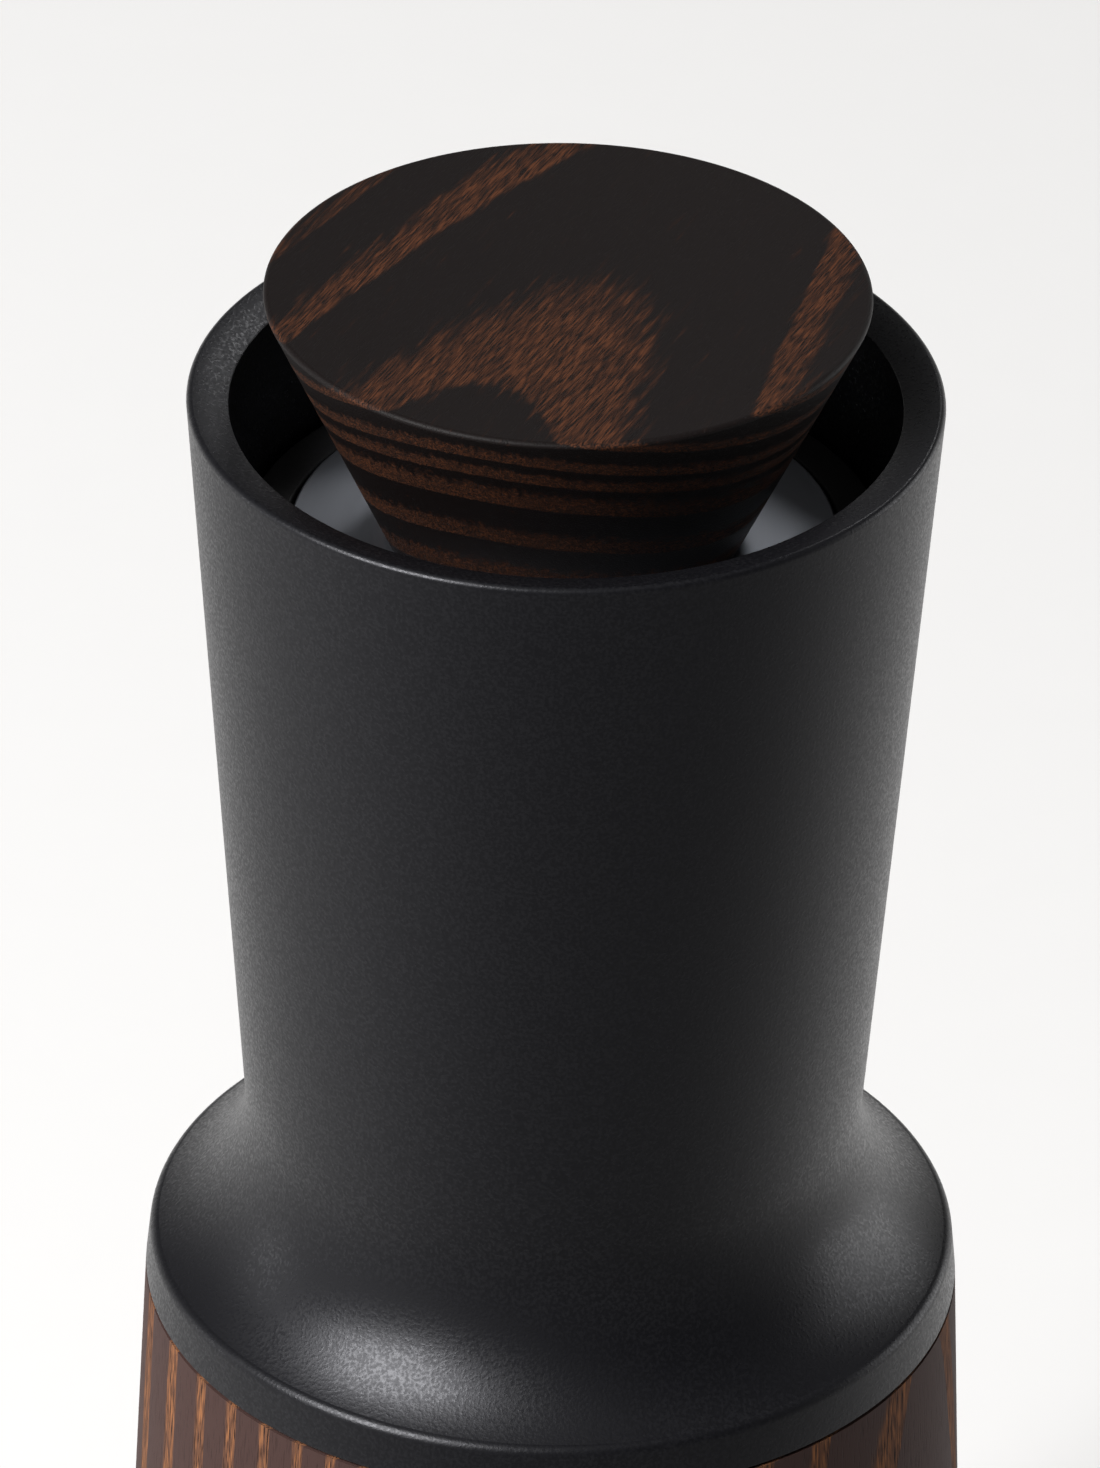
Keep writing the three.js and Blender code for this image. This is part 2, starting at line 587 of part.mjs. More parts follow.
// Cap nut that clamps the spider's hub to the shaft.
function shaftNut() {
  const z0 = spiderHub1 + GAP;
  const flats = hexagon(NUT.corner, z0, z0 + NUT.flats);
  const dome0 = z0 + NUT.domeFoot;
  const round = arc(0, dome0, NUT.domeR, DOME_START, Math.PI / 2 - DOME_START, 1 + CORNER_STEPS);
  const dome = turned([
    [0, dome0], [NUT.domeR, dome0],
    ...round.map(([r, z]) => [r, dome0 + DOME_SQUASH * (z - dome0)]),
    [0, dome0 + NUT.domeRise],
  ], COARSE);
  const thread1 = spiderHub1 + SHAFT_THREAD_LENGTH + GAP;
  return cut(join(flats, dome), rod(SHAFT_THREAD_R + GAP, z0 - THROUGH, thread1, COARSE));
}

function innerBurr() {
  const edge1 = burr0 + BURR_EDGE_HEIGHT;
  const neck0 = burr1 - BURR_NECK;
  const cone = Array.from({ length: BURR_STEPS + 1 }, (_, i) => {
    const t = i / BURR_STEPS;
    return [burrR + (BURR_TOP_R - burrR) * t, edge1 + (neck0 - edge1) * t];
  });
  const toothed = (BURR_NECK_R + BURR_TOP_R) / 2; // only points outside this radius are
  const body = turned([
    [0, burr0], [burrR, burr0], ...cone, [BURR_NECK_R, neck0], [BURR_NECK_R, burr1], [0, burr1],
  ], 3 * TEETH, (r, z, a) => {
    if (r < toothed) return [r, z];
    const depth = FLUTE_DEPTH.bottom + FLUTE_DEPTH.gain * (z - burr0) / BURR_HEIGHT;
    const teeth = z > burr0 + BURR_THROAT ? FLUTES : TEETH;
    return [r - depth * saw(a, z, teeth, INNER_TWIST), z];
  });
  return cut(body, hexagon(SHAFT_R + HEX_GAP, burr0 - THROUGH, burr1 + THROUGH));
}

function burrBolt() {
  const head1 = burr0 - 2 * GAP - WASHER.height;
  const head = hexagon(BOLT.head, head1 - BOLT.headHeight, head1);
  return join(head, rod(BOLT.shank, head1 - OVERLAP, burr0 + BOLT.length));
}

piece('crank_sleeve', crankSleeve(), powderCoat);
piece('hopper_ring', hopperRing(), nylon);
piece('drive_spider', driveSpider(), aluminium);
spiderScrews.forEach(([x, y], i) => {
  const seat = spider0 + SPIDER_SCREW.headHeight;
  piece(`spider_screw_${i + 1}`, screw(SPIDER_SCREW, seat, x, y, true), steel);
});
piece('drive_shaft', driveShaft(), brightSteel);
piece('shaft_nut', shaftNut(), brightSteel);
piece('spacer_sleeve', ring(SHAFT_R + GAP, SPACER_R, bearing1 + GAP, spiderHub0 - GAP), aluminium);
piece('inner_burr', innerBurr(), steel);
const washer0 = burr0 - GAP - WASHER.height;
piece('burr_washer', ring(BOLT.shank + GAP, WASHER.radius, washer0, burr0 - GAP), steel);
piece('burr_bolt', burrBolt(), brightSteel);

// ---- Lid --------------------------------------------------------------------------------------
function lidKnob() {
  const footR = knobR - KNOB_TAPER * (knob1 - knob0);
  const hole1 = plate0 + LID_SCREW.length;
  const holeR = LID_SCREW.shank + GAP;
  return turned([
    [0, hole1], [holeR, hole1], [holeR, knob0], [footR, knob0],
    [knobR, knob1 - KNOB_EDGE], [knobR - KNOB_EDGE, knob1], [0, knob1],
  ], FINE);
}

const gasketR = plateR - GASKET_INSET;
const lidScrew = { ...LID_SCREW, length: LID_SCREW.length - 2 * GAP };
piece('lid_plate', ring(LID_SCREW.shank + GAP, plateR, plate0, plate1, FINE), steel);
piece('lid_knob', lidKnob(), ash);
piece('lid_gasket', ring(gasketR - GASKET_WIDTH, gasketR, gasket0, plate0 - GAP, FINE), silicone);
piece('lid_screw', screw(lidScrew, plate0 - GAP, 0, 0, true), steel);

export default grinder;
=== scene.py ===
# A hand coffee grinder, finished piece by piece in the order that it is put together. The wood is
# turned from dark stained ash, the crank head is powder-coated, and the lid is steel and ash.
# Metres, +Z up, with the origin under the middle of the foot ring.
import math

import bmesh
import bpy
from mathutils import Matrix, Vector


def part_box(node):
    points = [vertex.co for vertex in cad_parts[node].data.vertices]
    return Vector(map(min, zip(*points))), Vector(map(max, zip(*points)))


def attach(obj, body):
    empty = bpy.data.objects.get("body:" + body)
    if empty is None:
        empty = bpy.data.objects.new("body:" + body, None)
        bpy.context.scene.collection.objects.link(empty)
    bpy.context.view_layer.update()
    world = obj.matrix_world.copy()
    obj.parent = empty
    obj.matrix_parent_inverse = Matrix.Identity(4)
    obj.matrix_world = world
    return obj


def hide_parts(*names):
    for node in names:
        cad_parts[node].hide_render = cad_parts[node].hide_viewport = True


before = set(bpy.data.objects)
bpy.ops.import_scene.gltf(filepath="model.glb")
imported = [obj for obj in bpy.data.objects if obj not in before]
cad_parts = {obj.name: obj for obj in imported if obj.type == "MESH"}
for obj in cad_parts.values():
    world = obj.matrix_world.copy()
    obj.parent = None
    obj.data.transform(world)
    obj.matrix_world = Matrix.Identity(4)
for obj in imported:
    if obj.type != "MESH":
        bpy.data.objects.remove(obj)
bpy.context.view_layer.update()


# ---- Foot ring ---------------------------------------------------------------------------------
# A flat ring of moulded silicone, pressed into a groove under the catch cup. It grips the table
# and keeps the wood's end grain off a wet counter.
MM = 0.001
GAP = 0.3 * MM  # between pieces that seat on or in each other
FOOT_WIDTH = 4.5 * MM


def span(node):
    """A node's outer radius, and the heights of its bottom and its top."""
    low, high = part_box(node)
    return high.x, low.z, high.z


def made_object(name, mesh):
    """The bmesh as a smooth-shaded object of that name, with its faces pointing out."""
    bmesh.ops.recalc_face_normals(mesh, faces=mesh.faces)
    for face in mesh.faces:
        face.smooth = True
    data = bpy.data.meshes.new(name)
    mesh.to_mesh(data)
    mesh.free()
    made = bpy.data.objects.new(name, data)
    bpy.context.scene.collection.objects.link(made)
    return made


def turned(name, outline, steps=192):
    """An outline of (radius, height) points, turned once round the Z axis."""
    mesh = bmesh.new()
    points = [mesh.verts.new((radius, 0, height)) for radius, height in outline]
    for ends in zip(points, points[1:] + points[:1]):
        if any(point.co.x > 0 for point in ends):
            mesh.edges.new(ends)
    bmesh.ops.spin(mesh, geom=mesh.verts[:] + mesh.edges[:], cent=(0, 0, 0), axis=(0, 0, 1),
                   angle=2 * math.pi, steps=steps, use_merge=True)
    bmesh.ops.remove_doubles(mesh, verts=mesh.verts, dist=0.001 * MM)
    return made_object(name, mesh)


def ring(name, inner, outer, bottom, top, steps=192):
    """A plain ring or tube."""
    return turned(name, [(inner, bottom), (outer, bottom), (outer, top), (inner, top)], steps)


def eased(piece, width, segments=3, angle=25):
    """Rounds every edge that turns by more than the angle."""
    bevel = piece.modifiers.new("eased edges", "BEVEL")
    bevel.width = width
    bevel.segments = segments
    bevel.limit_method = "ANGLE"
    bevel.angle_limit = math.radians(angle)
    bevel.harden_normals = True
    return piece


def fitted(piece, body, slot, material, *nodes):
    """Gives a piece its material, the body it rides on and the CAD nodes it stands for."""
    piece.data.materials.clear()
    piece.data.materials.append(material)
    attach(piece, body)
    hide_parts(*nodes)
    return piece


def new_material(name, color, roughness, metallic=0.0, specular=0.5):
    """A material, its node tree and its Principled BSDF."""
    material = bpy.data.materials.new(name)
    material.use_nodes = True
    tree = material.node_tree
    tree.nodes.clear()
    shader = tree.nodes.new("ShaderNodeBsdfPrincipled")
    output = tree.nodes.new("ShaderNodeOutputMaterial")
    tree.links.new(shader.outputs[0], output.inputs["Surface"])
    shader.inputs["Base Color"].default_value = (*color, 1)
    shader.inputs["Roughness"].default_value = roughness
    shader.inputs["Metallic"].default_value = metallic
    shader.inputs["Specular IOR Level"].default_value = specular
    return material, tree, shader


def add(tree, kind, inputs=(), **settings):
    """A shader node with its settings, and its input values or the sockets that feed them."""
    made = tree.nodes.new(kind)
    for key, value in settings.items():
        setattr(made, key, value)
    for key, value in dict(inputs).items():
        if isinstance(value, bpy.types.NodeSocket):
            tree.links.new(value, made.inputs[key])
        else:
            made.inputs[key].default_value = value
    return made


def calculate(tree, operation, *values):
    """The result of one Math node."""
    return add(tree, "ShaderNodeMath", enumerate(values), operation=operation).outputs[0]


def step_between(tree, value, low, high):
    """0 below low and 1 above high, with a smooth turn between."""
    limits = {"Value": value, "From Min": low, "From Max": high}
    return add(tree, "ShaderNodeMapRange", limits, interpolation_type="SMOOTHSTEP").outputs[0]


def between(tree, value, low, high):
    """A value from 0 to 1 as one from low to high."""
    limits = {"Value": value, "To Min": low, "To Max": high}
    return add(tree, "ShaderNodeMapRange", limits).outputs[0]


def color_between(tree, factor, first, second):
    """The first colour where the factor is 0, and the second where it is 1."""
    mix = add(tree, "ShaderNodeMix", data_type="RGBA")
    for place, value in ((0, factor), (6, first), (7, second)):
        if isinstance(value, bpy.types.NodeSocket):
            tree.links.new(value, mix.inputs[place])
        else:
            mix.inputs[place].default_value = (*value, 1)
    return mix.outputs[2]


def noise(tree, point, scale, detail=2.0, stretch=(1, 1, 1)):
    """A noise from 0 to 1 with so many features to the metre along each axis."""
    space = add(tree, "ShaderNodeMapping", {"Vector": point, "Scale": [scale * s for s in stretch]})
    return add(tree, "ShaderNodeTexNoise",
               {"Vector": space.outputs[0], "Scale": 1.0, "Detail": detail}).outputs[0]


def new_group(name, inputs, outputs):
    """A shader node group with named sockets: its tree, its input node and its output node."""
    group = bpy.data.node_groups.new(name, "ShaderNodeTree")
    for label, kind, value in inputs:
        socket = group.interface.new_socket(label, in_out="INPUT", socket_type=kind)
        if value is not None:
            socket.default_value = value
    for label, kind in outputs:
        group.interface.new_socket(label, in_out="OUTPUT", socket_type=kind)
    return group, add(group, "NodeGroupInput"), add(group, "NodeGroupOutput")


def placed(tree, group, **inputs):
    """A node group placed in a material, with its own values."""
    made = add(tree, "ShaderNodeGroup", node_tree=group)
    for key, value in inputs.items():
        socket = made.inputs[key.replace("_", " ")]
        if isinstance(value, bpy.types.NodeSocket):
            tree.links.new(value, socket)
        else:
            socket.default_value = value
    return made


def moulded_grain():
    """The even grain of a moulded, cast or coated surface, and the slow clouds in its tone."""
    group, given, result = new_group(
        "moulded grain",
        [("Point", "NodeSocketVector", None), ("Grain size", "NodeSocketFloat", 0.5 * MM),
         ("Cloud size", "NodeSocketFloat", 15 * MM)],
        [("Grain", "NodeSocketFloat"), ("Cloud", "NodeSocketFloat")])
    for size, label, detail in (("Grain size", "Grain", 2.0), ("Cloud size", "Cloud", 3.0)):
        scale = calculate(group, "DIVIDE", 1.0, given.outputs[size])
        texture = add(group, "ShaderNodeTexNoise",
                      {"Vector": given.outputs["Point"], "Scale": scale, "Detail": detail})
        group.links.new(texture.outputs[0], result.inputs[label])
    return group


MOULDED_GRAIN = moulded_grain()


def moulded(name, color, roughness, grain=0.5 * MM, depth=0.02 * MM, tone=0.2, gloss=0.1,
            specular=0.5):
    """A plastic or rubber whose tone, gloss and surface follow the moulded grain."""
    material, tree, shader = new_material(name, color, roughness, 0.0, specular)
    point = add(tree, "ShaderNodeTexCoord").outputs["Object"]
    texture = placed(tree, MOULDED_GRAIN, Point=point, Grain_size=grain)
    shade = color_between(tree, texture.outputs["Cloud"], [c * (1 - tone) for c in color],
                          [c * (1 + tone) for c in color])
    tree.links.new(shade, shader.inputs["Base Color"])
    rough = between(tree, texture.outputs["Grain"], roughness - gloss, roughness + gloss)
    tree.links.new(rough, shader.inputs["Roughness"])
    bump = add(tree, "ShaderNodeBump", {"Height": texture.outputs["Grain"], "Distance": depth})
    tree.links.new(bump.outputs[0], shader.inputs["Normal"])
    return material


silicone = moulded("silicone", (0.022, 0.022, 0.024), 0.72, grain=0.8 * MM, specular=0.3)

foot_r, foot_bottom, foot_top = span("foot_ring")
foot_ring = ring("silicone_foot", foot_r - FOOT_WIDTH, foot_r, foot_bottom, foot_top)
eased(foot_ring, 0.45 * MM)
fitted(foot_ring, "catch_cup", "silicone", silicone, "foot_ring")


# ---- Catch cup, wood ---------------------------------------------------------------------------
# The lower wooden piece, turned from the same blank of ash as the body, so that the grain runs on
# across the seam. Stained almost black, brushed to open the soft grain, and oiled.
WOOD_TAPER = 0.044  # radius gained on the way down
BASE_EDGE = 1.2 * MM
LINER_CORNER = 3.0 * MM
ASH_LATE = (0.058, 0.032, 0.028)
ASH_EARLY = (0.30, 0.125, 0.052)
ASH_PORE = (0.016, 0.009, 0.007)
PORE_DEPTH = 0.06 * MM
FIBRES, FLECKS, BUNDLES, CLOUDS = 8000, 3000, 2000, 90  # to the metre, across the grain
ASH_RAGGED = 0.5  # how far the fibres break up the edge of a year's growth


def arc(centre, radius, start, end, steps=8):
    """Points of an arc about a (radius, height) centre, between two angles in degrees."""
    angles = [math.radians(start + (end - start) * i / steps) for i in range(steps + 1)]
    return [(centre[0] + radius * math.cos(a), centre[1] + radius * math.sin(a)) for a in angles]


def ash_figure():
    """Ash seen from its pith, which runs along X: the fibres, the pores and the year's growth.
    Spring is 1 where a year's open spring wood starts and falls to 0 where it ends."""
    group, given, result = new_group(
        "ash figure",
        [("Point", "NodeSocketVector", None), ("Spring", "NodeSocketFloat", 0.0),
         ("Ragged", "NodeSocketFloat", ASH_RAGGED),
         ("Late wood", "NodeSocketColor", (*ASH_LATE, 1)),
         ("Early wood", "NodeSocketColor", (*ASH_EARLY, 1)),
         ("Pore", "NodeSocketColor", (*ASH_PORE, 1))],
        [("Color", "NodeSocketColor"), ("Height", "NodeSocketFloat"), ("Open", "NodeSocketFloat")])
    point = given.outputs["Point"]
    fibre = noise(group, point, FIBRES, 2.0, (0.05, 1, 1))
    bundle = noise(group, point, BUNDLES, 2.0, (0.07, 1, 1))
    cloud = noise(group, point, CLOUDS, 2.0, (0.4, 1, 1))
    level = calculate(group, "SUBTRACT", bundle, 0.5)
    rough_edge = calculate(group, "MULTIPLY", level, given.outputs["Ragged"])
    early = step_between(group, calculate(group, "SUBTRACT", given.outputs["Spring"], rough_edge),
                         0.13, 0.57)
    streak = step_between(group, fibre, 0.40, 0.72)
    light = calculate(group, "MULTIPLY", early, between(group, streak, 0.28, 1.0))
    fleck = step_between(group, noise(group, point, FLECKS, 1.0, (0.1, 1, 1)), 0.3, 0.7)
    patchy = calculate(group, "MULTIPLY", between(group, cloud, 0.55, 1.3),
                       between(group, fleck, 0.45, 1.35))
    dim = calculate(group, "MULTIPLY", light, patchy)
    wood = color_between(group, dim, given.outputs["Late wood"], given.outputs["Early wood"])
    holes = calculate(group, "SUBTRACT", 1.0, step_between(group, fibre, 0.33, 0.45))
    pore = calculate(group, "MULTIPLY", holes, between(group, early, 0.35, 0.9))
    shade = color_between(group, pore, wood, given.outputs["Pore"])
    height = calculate(group, "MULTIPLY_ADD", pore, -1.0, calculate(group, "MULTIPLY", fibre, 0.3))
    group.links.new(shade, result.inputs["Color"])
    group.links.new(height, result.inputs["Height"])
    group.links.new(early, result.inputs["Open"])
    return group


ASH_FIGURE = ash_figure()


def seen_from_pith(tree, place, heading, rise):
    """The surface point as seen from a pith through place, with X along it. The angles, in
    degrees, are the pith's heading about Z and how far it rises."""
    turn = (Matrix.Rotation(math.radians(heading), 3, "Z")
            @ Matrix.Rotation(math.radians(-rise), 3, "Y"))
    point = add(tree, "ShaderNodeTexCoord").outputs["Object"]
    apart = add(tree, "ShaderNodeVectorMath", {0: point, 1: place}, operation="SUBTRACT").outputs[0]
    along = [add(tree, "ShaderNodeVectorMath", {0: apart, 1: turn.col[i]},
                 operation="DOT_PRODUCT").outputs["Value"] for i in range(3)]
    return add(tree, "ShaderNodeCombineXYZ", enumerate(along)).outputs[0]


def distance_from_pith(tree, point, wander):
    """How far the wood is from its pith, with the slow wander of its rings."""
    across = add(tree, "ShaderNodeVectorMath", {0: point, 1: (0, 1, 1)}, operation="MULTIPLY")
    radius = add(tree, "ShaderNodeVectorMath", {0: across.outputs[0]}, operation="LENGTH")
    drift = calculate(tree, "SUBTRACT", noise(tree, point, 70, 1.0, (0.2, 1, 1)), 0.5)
    return calculate(tree, "MULTIPLY_ADD", drift, wander, radius.outputs["Value"])


def stained_ash(tree, shader, point, spring, ragged, late, early, pore, roughness):
    """Wires the ash's colour, gloss and open grain to the shader."""
    wood = placed(tree, ASH_FIGURE, Point=point, Spring=spring, Ragged=ragged,
                  Late_wood=(*late, 1), Early_wood=(*early, 1), Pore=(*pore, 1))
    tree.links.new(wood.outputs["Color"], shader.inputs["Base Color"])
    rough = between(tree, wood.outputs["Open"], roughness, roughness + 0.15)
    tree.links.new(rough, shader.inputs["Roughness"])
    bump = add(tree, "ShaderNodeBump", {"Height": wood.outputs["Height"], "Strength": 0.7,
                                        "Distance": PORE_DEPTH})
    tree.links.new(bump.outputs[0], shader.inputs["Normal"])


def upright_ash():
    """The blank of the body and the cup: its pith stands upright, behind them on the left."""
    place = (-44.4 * MM, 20.7 * MM, 0)
    growth, crowding, phase, spring_share, wander = 26.3 * MM, 2.64, 0.42, 0.45, 1.6 * MM
    material, tree, shader = new_material("upright ash", ASH_LATE, 0.45, 0.0, 0.13)
    point = seen_from_pith(tree, place, 0, 90)
    grown = calculate(tree, "DIVIDE", distance_from_pith(tree, point, wander), growth)
    years = calculate(tree, "ADD", calculate(tree, "POWER", grown, crowding), phase)
    part = calculate(tree, "FRACT", years)
    rising = step_between(tree, part, 1 - spring_share, 1 - spring_share / 3)
    ending = calculate(tree, "SUBTRACT", 1.0, step_between(tree, part, 0.95, 1.0))
    spring = calculate(tree, "MULTIPLY", rising, ending)
    stained_ash(tree, shader, point, spring, ASH_RAGGED, ASH_LATE, ASH_EARLY, ASH_PORE, 0.66)
    return material


body_ash = upright_ash()

cup_r, cup_bottom, cup_top = span("catch_cup_shell")
liner_r, liner_bottom, liner_top = span("catch_cup_liner")


def wood_line(height):
    """The wood's outer radius, on one straight taper from the skirt to the base."""
    return cup_r + WOOD_TAPER * (cup_bottom - height)


liner_corner = (liner_r - LINER_CORNER, liner_bottom + LINER_CORNER)
catch_cup = turned("turned_catch_cup", [
    (0, cup_bottom), (foot_r - FOOT_WIDTH - GAP, cup_bottom),
    (foot_r - FOOT_WIDTH - GAP, foot_top + GAP), (foot_r + GAP, foot_top + GAP),
    (foot_r + GAP, cup_bottom),
    *arc((cup_r - BASE_EDGE, cup_bottom + BASE_EDGE), BASE_EDGE, -90, 0),
    (wood_line(cup_top), cup_top), (liner_r + GAP, cup_top),
    *arc(liner_corner, LINER_CORNER + GAP, 0, -90), (0, liner_bottom - GAP)])
eased(catch_cup, 0.25 * MM)
fitted(catch_cup, "catch_cup", "ash", body_ash, "catch_cup_shell")


# ---- Catch cup, liner --------------------------------------------------------------------------
# A deep-drawn stainless steel cup, glued into the wood. Its top stands up as the spigot that the
# body slides down on. It is brushed on a lathe, so its fine lines run round it.
LINER_WALL = 0.8 * MM


def turning_marks():
    """The fine lines that a lathe or a brush leaves round the Z axis, and their faint bands."""
    group, given, result = new_group(
        "turning marks",
        [("Point", "NodeSocketVector", None), ("Line width", "NodeSocketFloat", 0.2 * MM)],
        [("Lines", "NodeSocketFloat"), ("Bands", "NodeSocketFloat")])
    flat = add(group, "ShaderNodeVectorMath", {0: given.outputs["Point"], 1: (1, 1, 0)},
               operation="MULTIPLY")
    radius = add(group, "ShaderNodeVectorMath", {0: flat.outputs[0]}, operation="LENGTH")
    parts = add(group, "ShaderNodeSeparateXYZ", {0: given.outputs["Point"]})
    side = add(group, "ShaderNodeVectorMath", {0: flat.outputs[0]}, operation="NORMALIZE")
    slow = add(group, "ShaderNodeVectorMath", {0: side.outputs[0], "Scale": 1.5}, operation="SCALE")
    scale = calculate(group, "DIVIDE", 1.0, given.outputs["Line width"])
    across = calculate(group, "ADD", radius.outputs["Value"], parts.outputs[2])
    for label, share in (("Lines", 1.0), ("Bands", 0.08)):
        place = calculate(group, "MULTIPLY", across, calculate(group, "MULTIPLY", scale, share))
        texture = add(group, "ShaderNodeTexNoise",
                      {"Vector": slow.outputs[0], "W": place, "Scale": 1.0, "Detail": 2.0},
                      noise_dimensions="4D")
        group.links.new(texture.outputs[0], result.inputs[label])
    return group


TURNING_MARKS = turning_marks()


def machined(name, color, roughness, line=0.2 * MM, depth=0.004 * MM, tone=0.12, gloss=0.12):
    """A bare metal with the marks of its turning in its tone, gloss and surface."""
    material, tree, shader = new_material(name, color, roughness, 1.0)
    point = add(tree, "ShaderNodeTexCoord").outputs["Object"]
    marks = placed(tree, TURNING_MARKS, Point=point, Line_width=line)
    shade = color_between(tree, marks.outputs["Bands"], [c * (1 - tone) for c in color],
                          [c * (1 + tone) for c in color])
    tree.links.new(shade, shader.inputs["Base Color"])
    rough = between(tree, marks.outputs["Lines"], roughness - gloss, roughness + gloss)
    tree.links.new(rough, shader.inputs["Roughness"])
    bump = add(tree, "ShaderNodeBump", {"Height": marks.outputs["Lines"], "Distance": depth})
    tree.links.new(bump.outputs[0], shader.inputs["Normal"])
    return material


brushed_steel = machined("brushed steel", (0.58, 0.58, 0.59), 0.32, depth=0.008 * MM)

liner_inner = liner_r - LINER_WALL
liner = turned("drawn_liner", [
    (0, liner_bottom), *arc(liner_corner, LINER_CORNER, -90, 0),
    (liner_r, liner_top), (liner_inner, liner_top),
    *arc(liner_corner, LINER_CORNER - LINER_WALL, 0, -90), (0, liner_bottom + LINER_WALL)])
eased(liner, 0.25 * MM)
fitted(liner, "catch_cup", "brushed_steel", brushed_steel, "catch_cup_liner")


# ---- Body, wood --------------------------------------------------------------------------------
# The grip: a thick-walled tube of the same ash. It is counterbored at the top for the bearing
# frame's flange and at the bottom for the aluminium socket of the catch cup.
SEAT_WIDTH = 5.0 * MM
FLANGE_THICKNESS = 2.4 * MM
SCREW_SHANK_R = 1.0 * MM

body_r, body_bottom, body_top = span("body_shell")
socket_r, socket_bottom, socket_top = span("cup_socket")
flange_r = span("bearing_frame")[0]
glide_r, glide_bottom, glide_top = span("glide_ring")
screw_bottom = span("frame_screw_1")[1]
flange_top = glide_bottom - GAP
flange_bottom = flange_top - FLANGE_THICKNESS
bore_r = flange_r + GAP - SEAT_WIDTH


def combined(piece, operation, *others):
    """Joins other solids to a piece, or cuts them from it. The others are used up."""
    for other in others:
        change = piece.modifiers.new("combined", "BOOLEAN")
        change.operation = operation
        change.solver = "EXACT"
        change.object = other
        whole = piece.evaluated_get(bpy.context.evaluated_depsgraph_get())
        piece.data = bpy.data.meshes.new_from_object(whole)
        piece.modifiers.clear()
        bpy.data.objects.remove(other)
    return piece


def bar(name, radius, bottom, top, sides=32, place=(0, 0), turn=0.0):
    """An upright round or many-sided bar."""
    mesh = bmesh.new()
    where = Matrix.Translation((*place, (bottom + top) / 2)) @ Matrix.Rotation(turn, 4, "Z")
    bmesh.ops.create_cone(mesh, cap_ends=True, segments=sides, radius1=radius, radius2=radius,
                          depth=top - bottom, matrix=where)
    return made_object(name, mesh)


def middle(node):
    """The place of a node's middle in plan."""
    low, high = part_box(node)
    return (low.x + high.x) / 2, (low.y + high.y) / 2


frame_screw_places = [middle(f"frame_screw_{i}") for i in (1, 2, 3)]
body = turned("turned_body", [
    (socket_r + GAP, body_bottom), (body_r, body_bottom), (wood_line(body_top), body_top),
    (flange_r + GAP, body_top), (flange_r + GAP, flange_bottom - GAP),
    (bore_r, flange_bottom - GAP), (bore_r, socket_top + GAP), (socket_r + GAP, socket_top + GAP)])
combined(body, "DIFFERENCE", *[
    bar("pilot", SCREW_SHANK_R + GAP, screw_bottom - GAP, body_top, 24, place)
    for place in frame_screw_places])
eased(body, 0.45 * MM)
fitted(body, "body", "ash", body_ash, "body_shell")


# ---- Cup socket and seal -----------------------------------------------------------------------
# A turned aluminium ring pressed into the body's lower end, with a silicone ring in its groove
# that grips the liner's spigot.
SOCKET_WALL = 1.55 * MM

aluminium = machined("turned aluminium", (0.62, 0.63, 0.64), 0.38, line=0.25 * MM, depth=0.006 * MM)

seal_r, seal_bottom, seal_top = span("cup_seal")
socket_inner = socket_r - SOCKET_WALL
socket = turned("aluminium_socket", [
    (socket_inner, socket_bottom), (socket_r, socket_bottom), (socket_r, socket_top),
    (socket_inner, socket_top), (socket_inner, seal_top + GAP), (seal_r + GAP, seal_top + GAP),
    (seal_r + GAP, seal_bottom - GAP), (socket_inner, seal_bottom - GAP)])
eased(socket, 0.15 * MM)
fitted(socket, "body", "aluminium", aluminium, "cup_socket")

seal = ring("silicone_seal", liner_r + GAP, seal_r, seal_bottom, seal_top)
eased(seal, 0.3 * MM)
fitted(seal, "body", "silicone", silicone, "cup_seal")


# ---- Bearing frame -----------------------------------------------------------------------------
# One moulding of black glass-filled nylon: the tube that holds the burrs, the flange that sits on
# the wood, the bean funnel in its top and the bearing hub on three arms.
FRAME_WALL = 2.8 * MM
THROAT_WALL = 5.7 * MM
COLLAR_LIP = 0.8 * MM
THROAT_DROP = 11.8 * MM
THROAT_LENGTH = 3.0 * MM
HUB_WALL = 2.25 * MM
ARM_WIDTH = 6.0 * MM
ARM_HEIGHT = 8.0 * MM
ARM_DROP = 4.8 * MM
ARM_ANGLES = (90, 210, 330)
ARM_ROOT = 1.5 * MM  # how far an arm runs into its wall
KEY_ANGLES = (0, 180)
KEYWAY_WIDTH = 4.6 * MM
KEYWAY_DEPTH = 1.7 * MM
KEYWAY_HEIGHT = 24.4 * MM
HUB_STEP = 2.0 * MM  # between the bearings' seats and the hub's bore

nylon = moulded("black nylon", (0.016, 0.016, 0.017), 0.5, depth=0.03 * MM, specular=0.4)

frame_bottom, frame_top = span("bearing_frame")[1:]
frame_r = bore_r - GAP
chamber_r = frame_r - FRAME_WALL
throat_r = frame_r - THROAT_WALL
throat_top = body_top - THROAT_DROP
chamber_top = throat_top - THROAT_LENGTH
bearing_r, upper_bottom, upper_top = span("upper_bearing")
lower_bottom, lower_top = span("lower_bearing")[1:]
hub_r = bearing_r + GAP + HUB_WALL


def arm(name, width, inner, outer, bottom, top, angle):
    """A bar that runs out from the axis at an angle in degrees."""
    mesh = bmesh.new()
    size = Matrix.Diagonal((outer - inner, width, top - bottom, 1))
    where = Matrix.Translation(((inner + outer) / 2, 0, (bottom + top) / 2))
    turn = Matrix.Rotation(math.radians(angle), 4, "Z")
    bmesh.ops.create_cube(mesh, size=1, matrix=turn @ where @ size)
    return made_object(name, mesh)


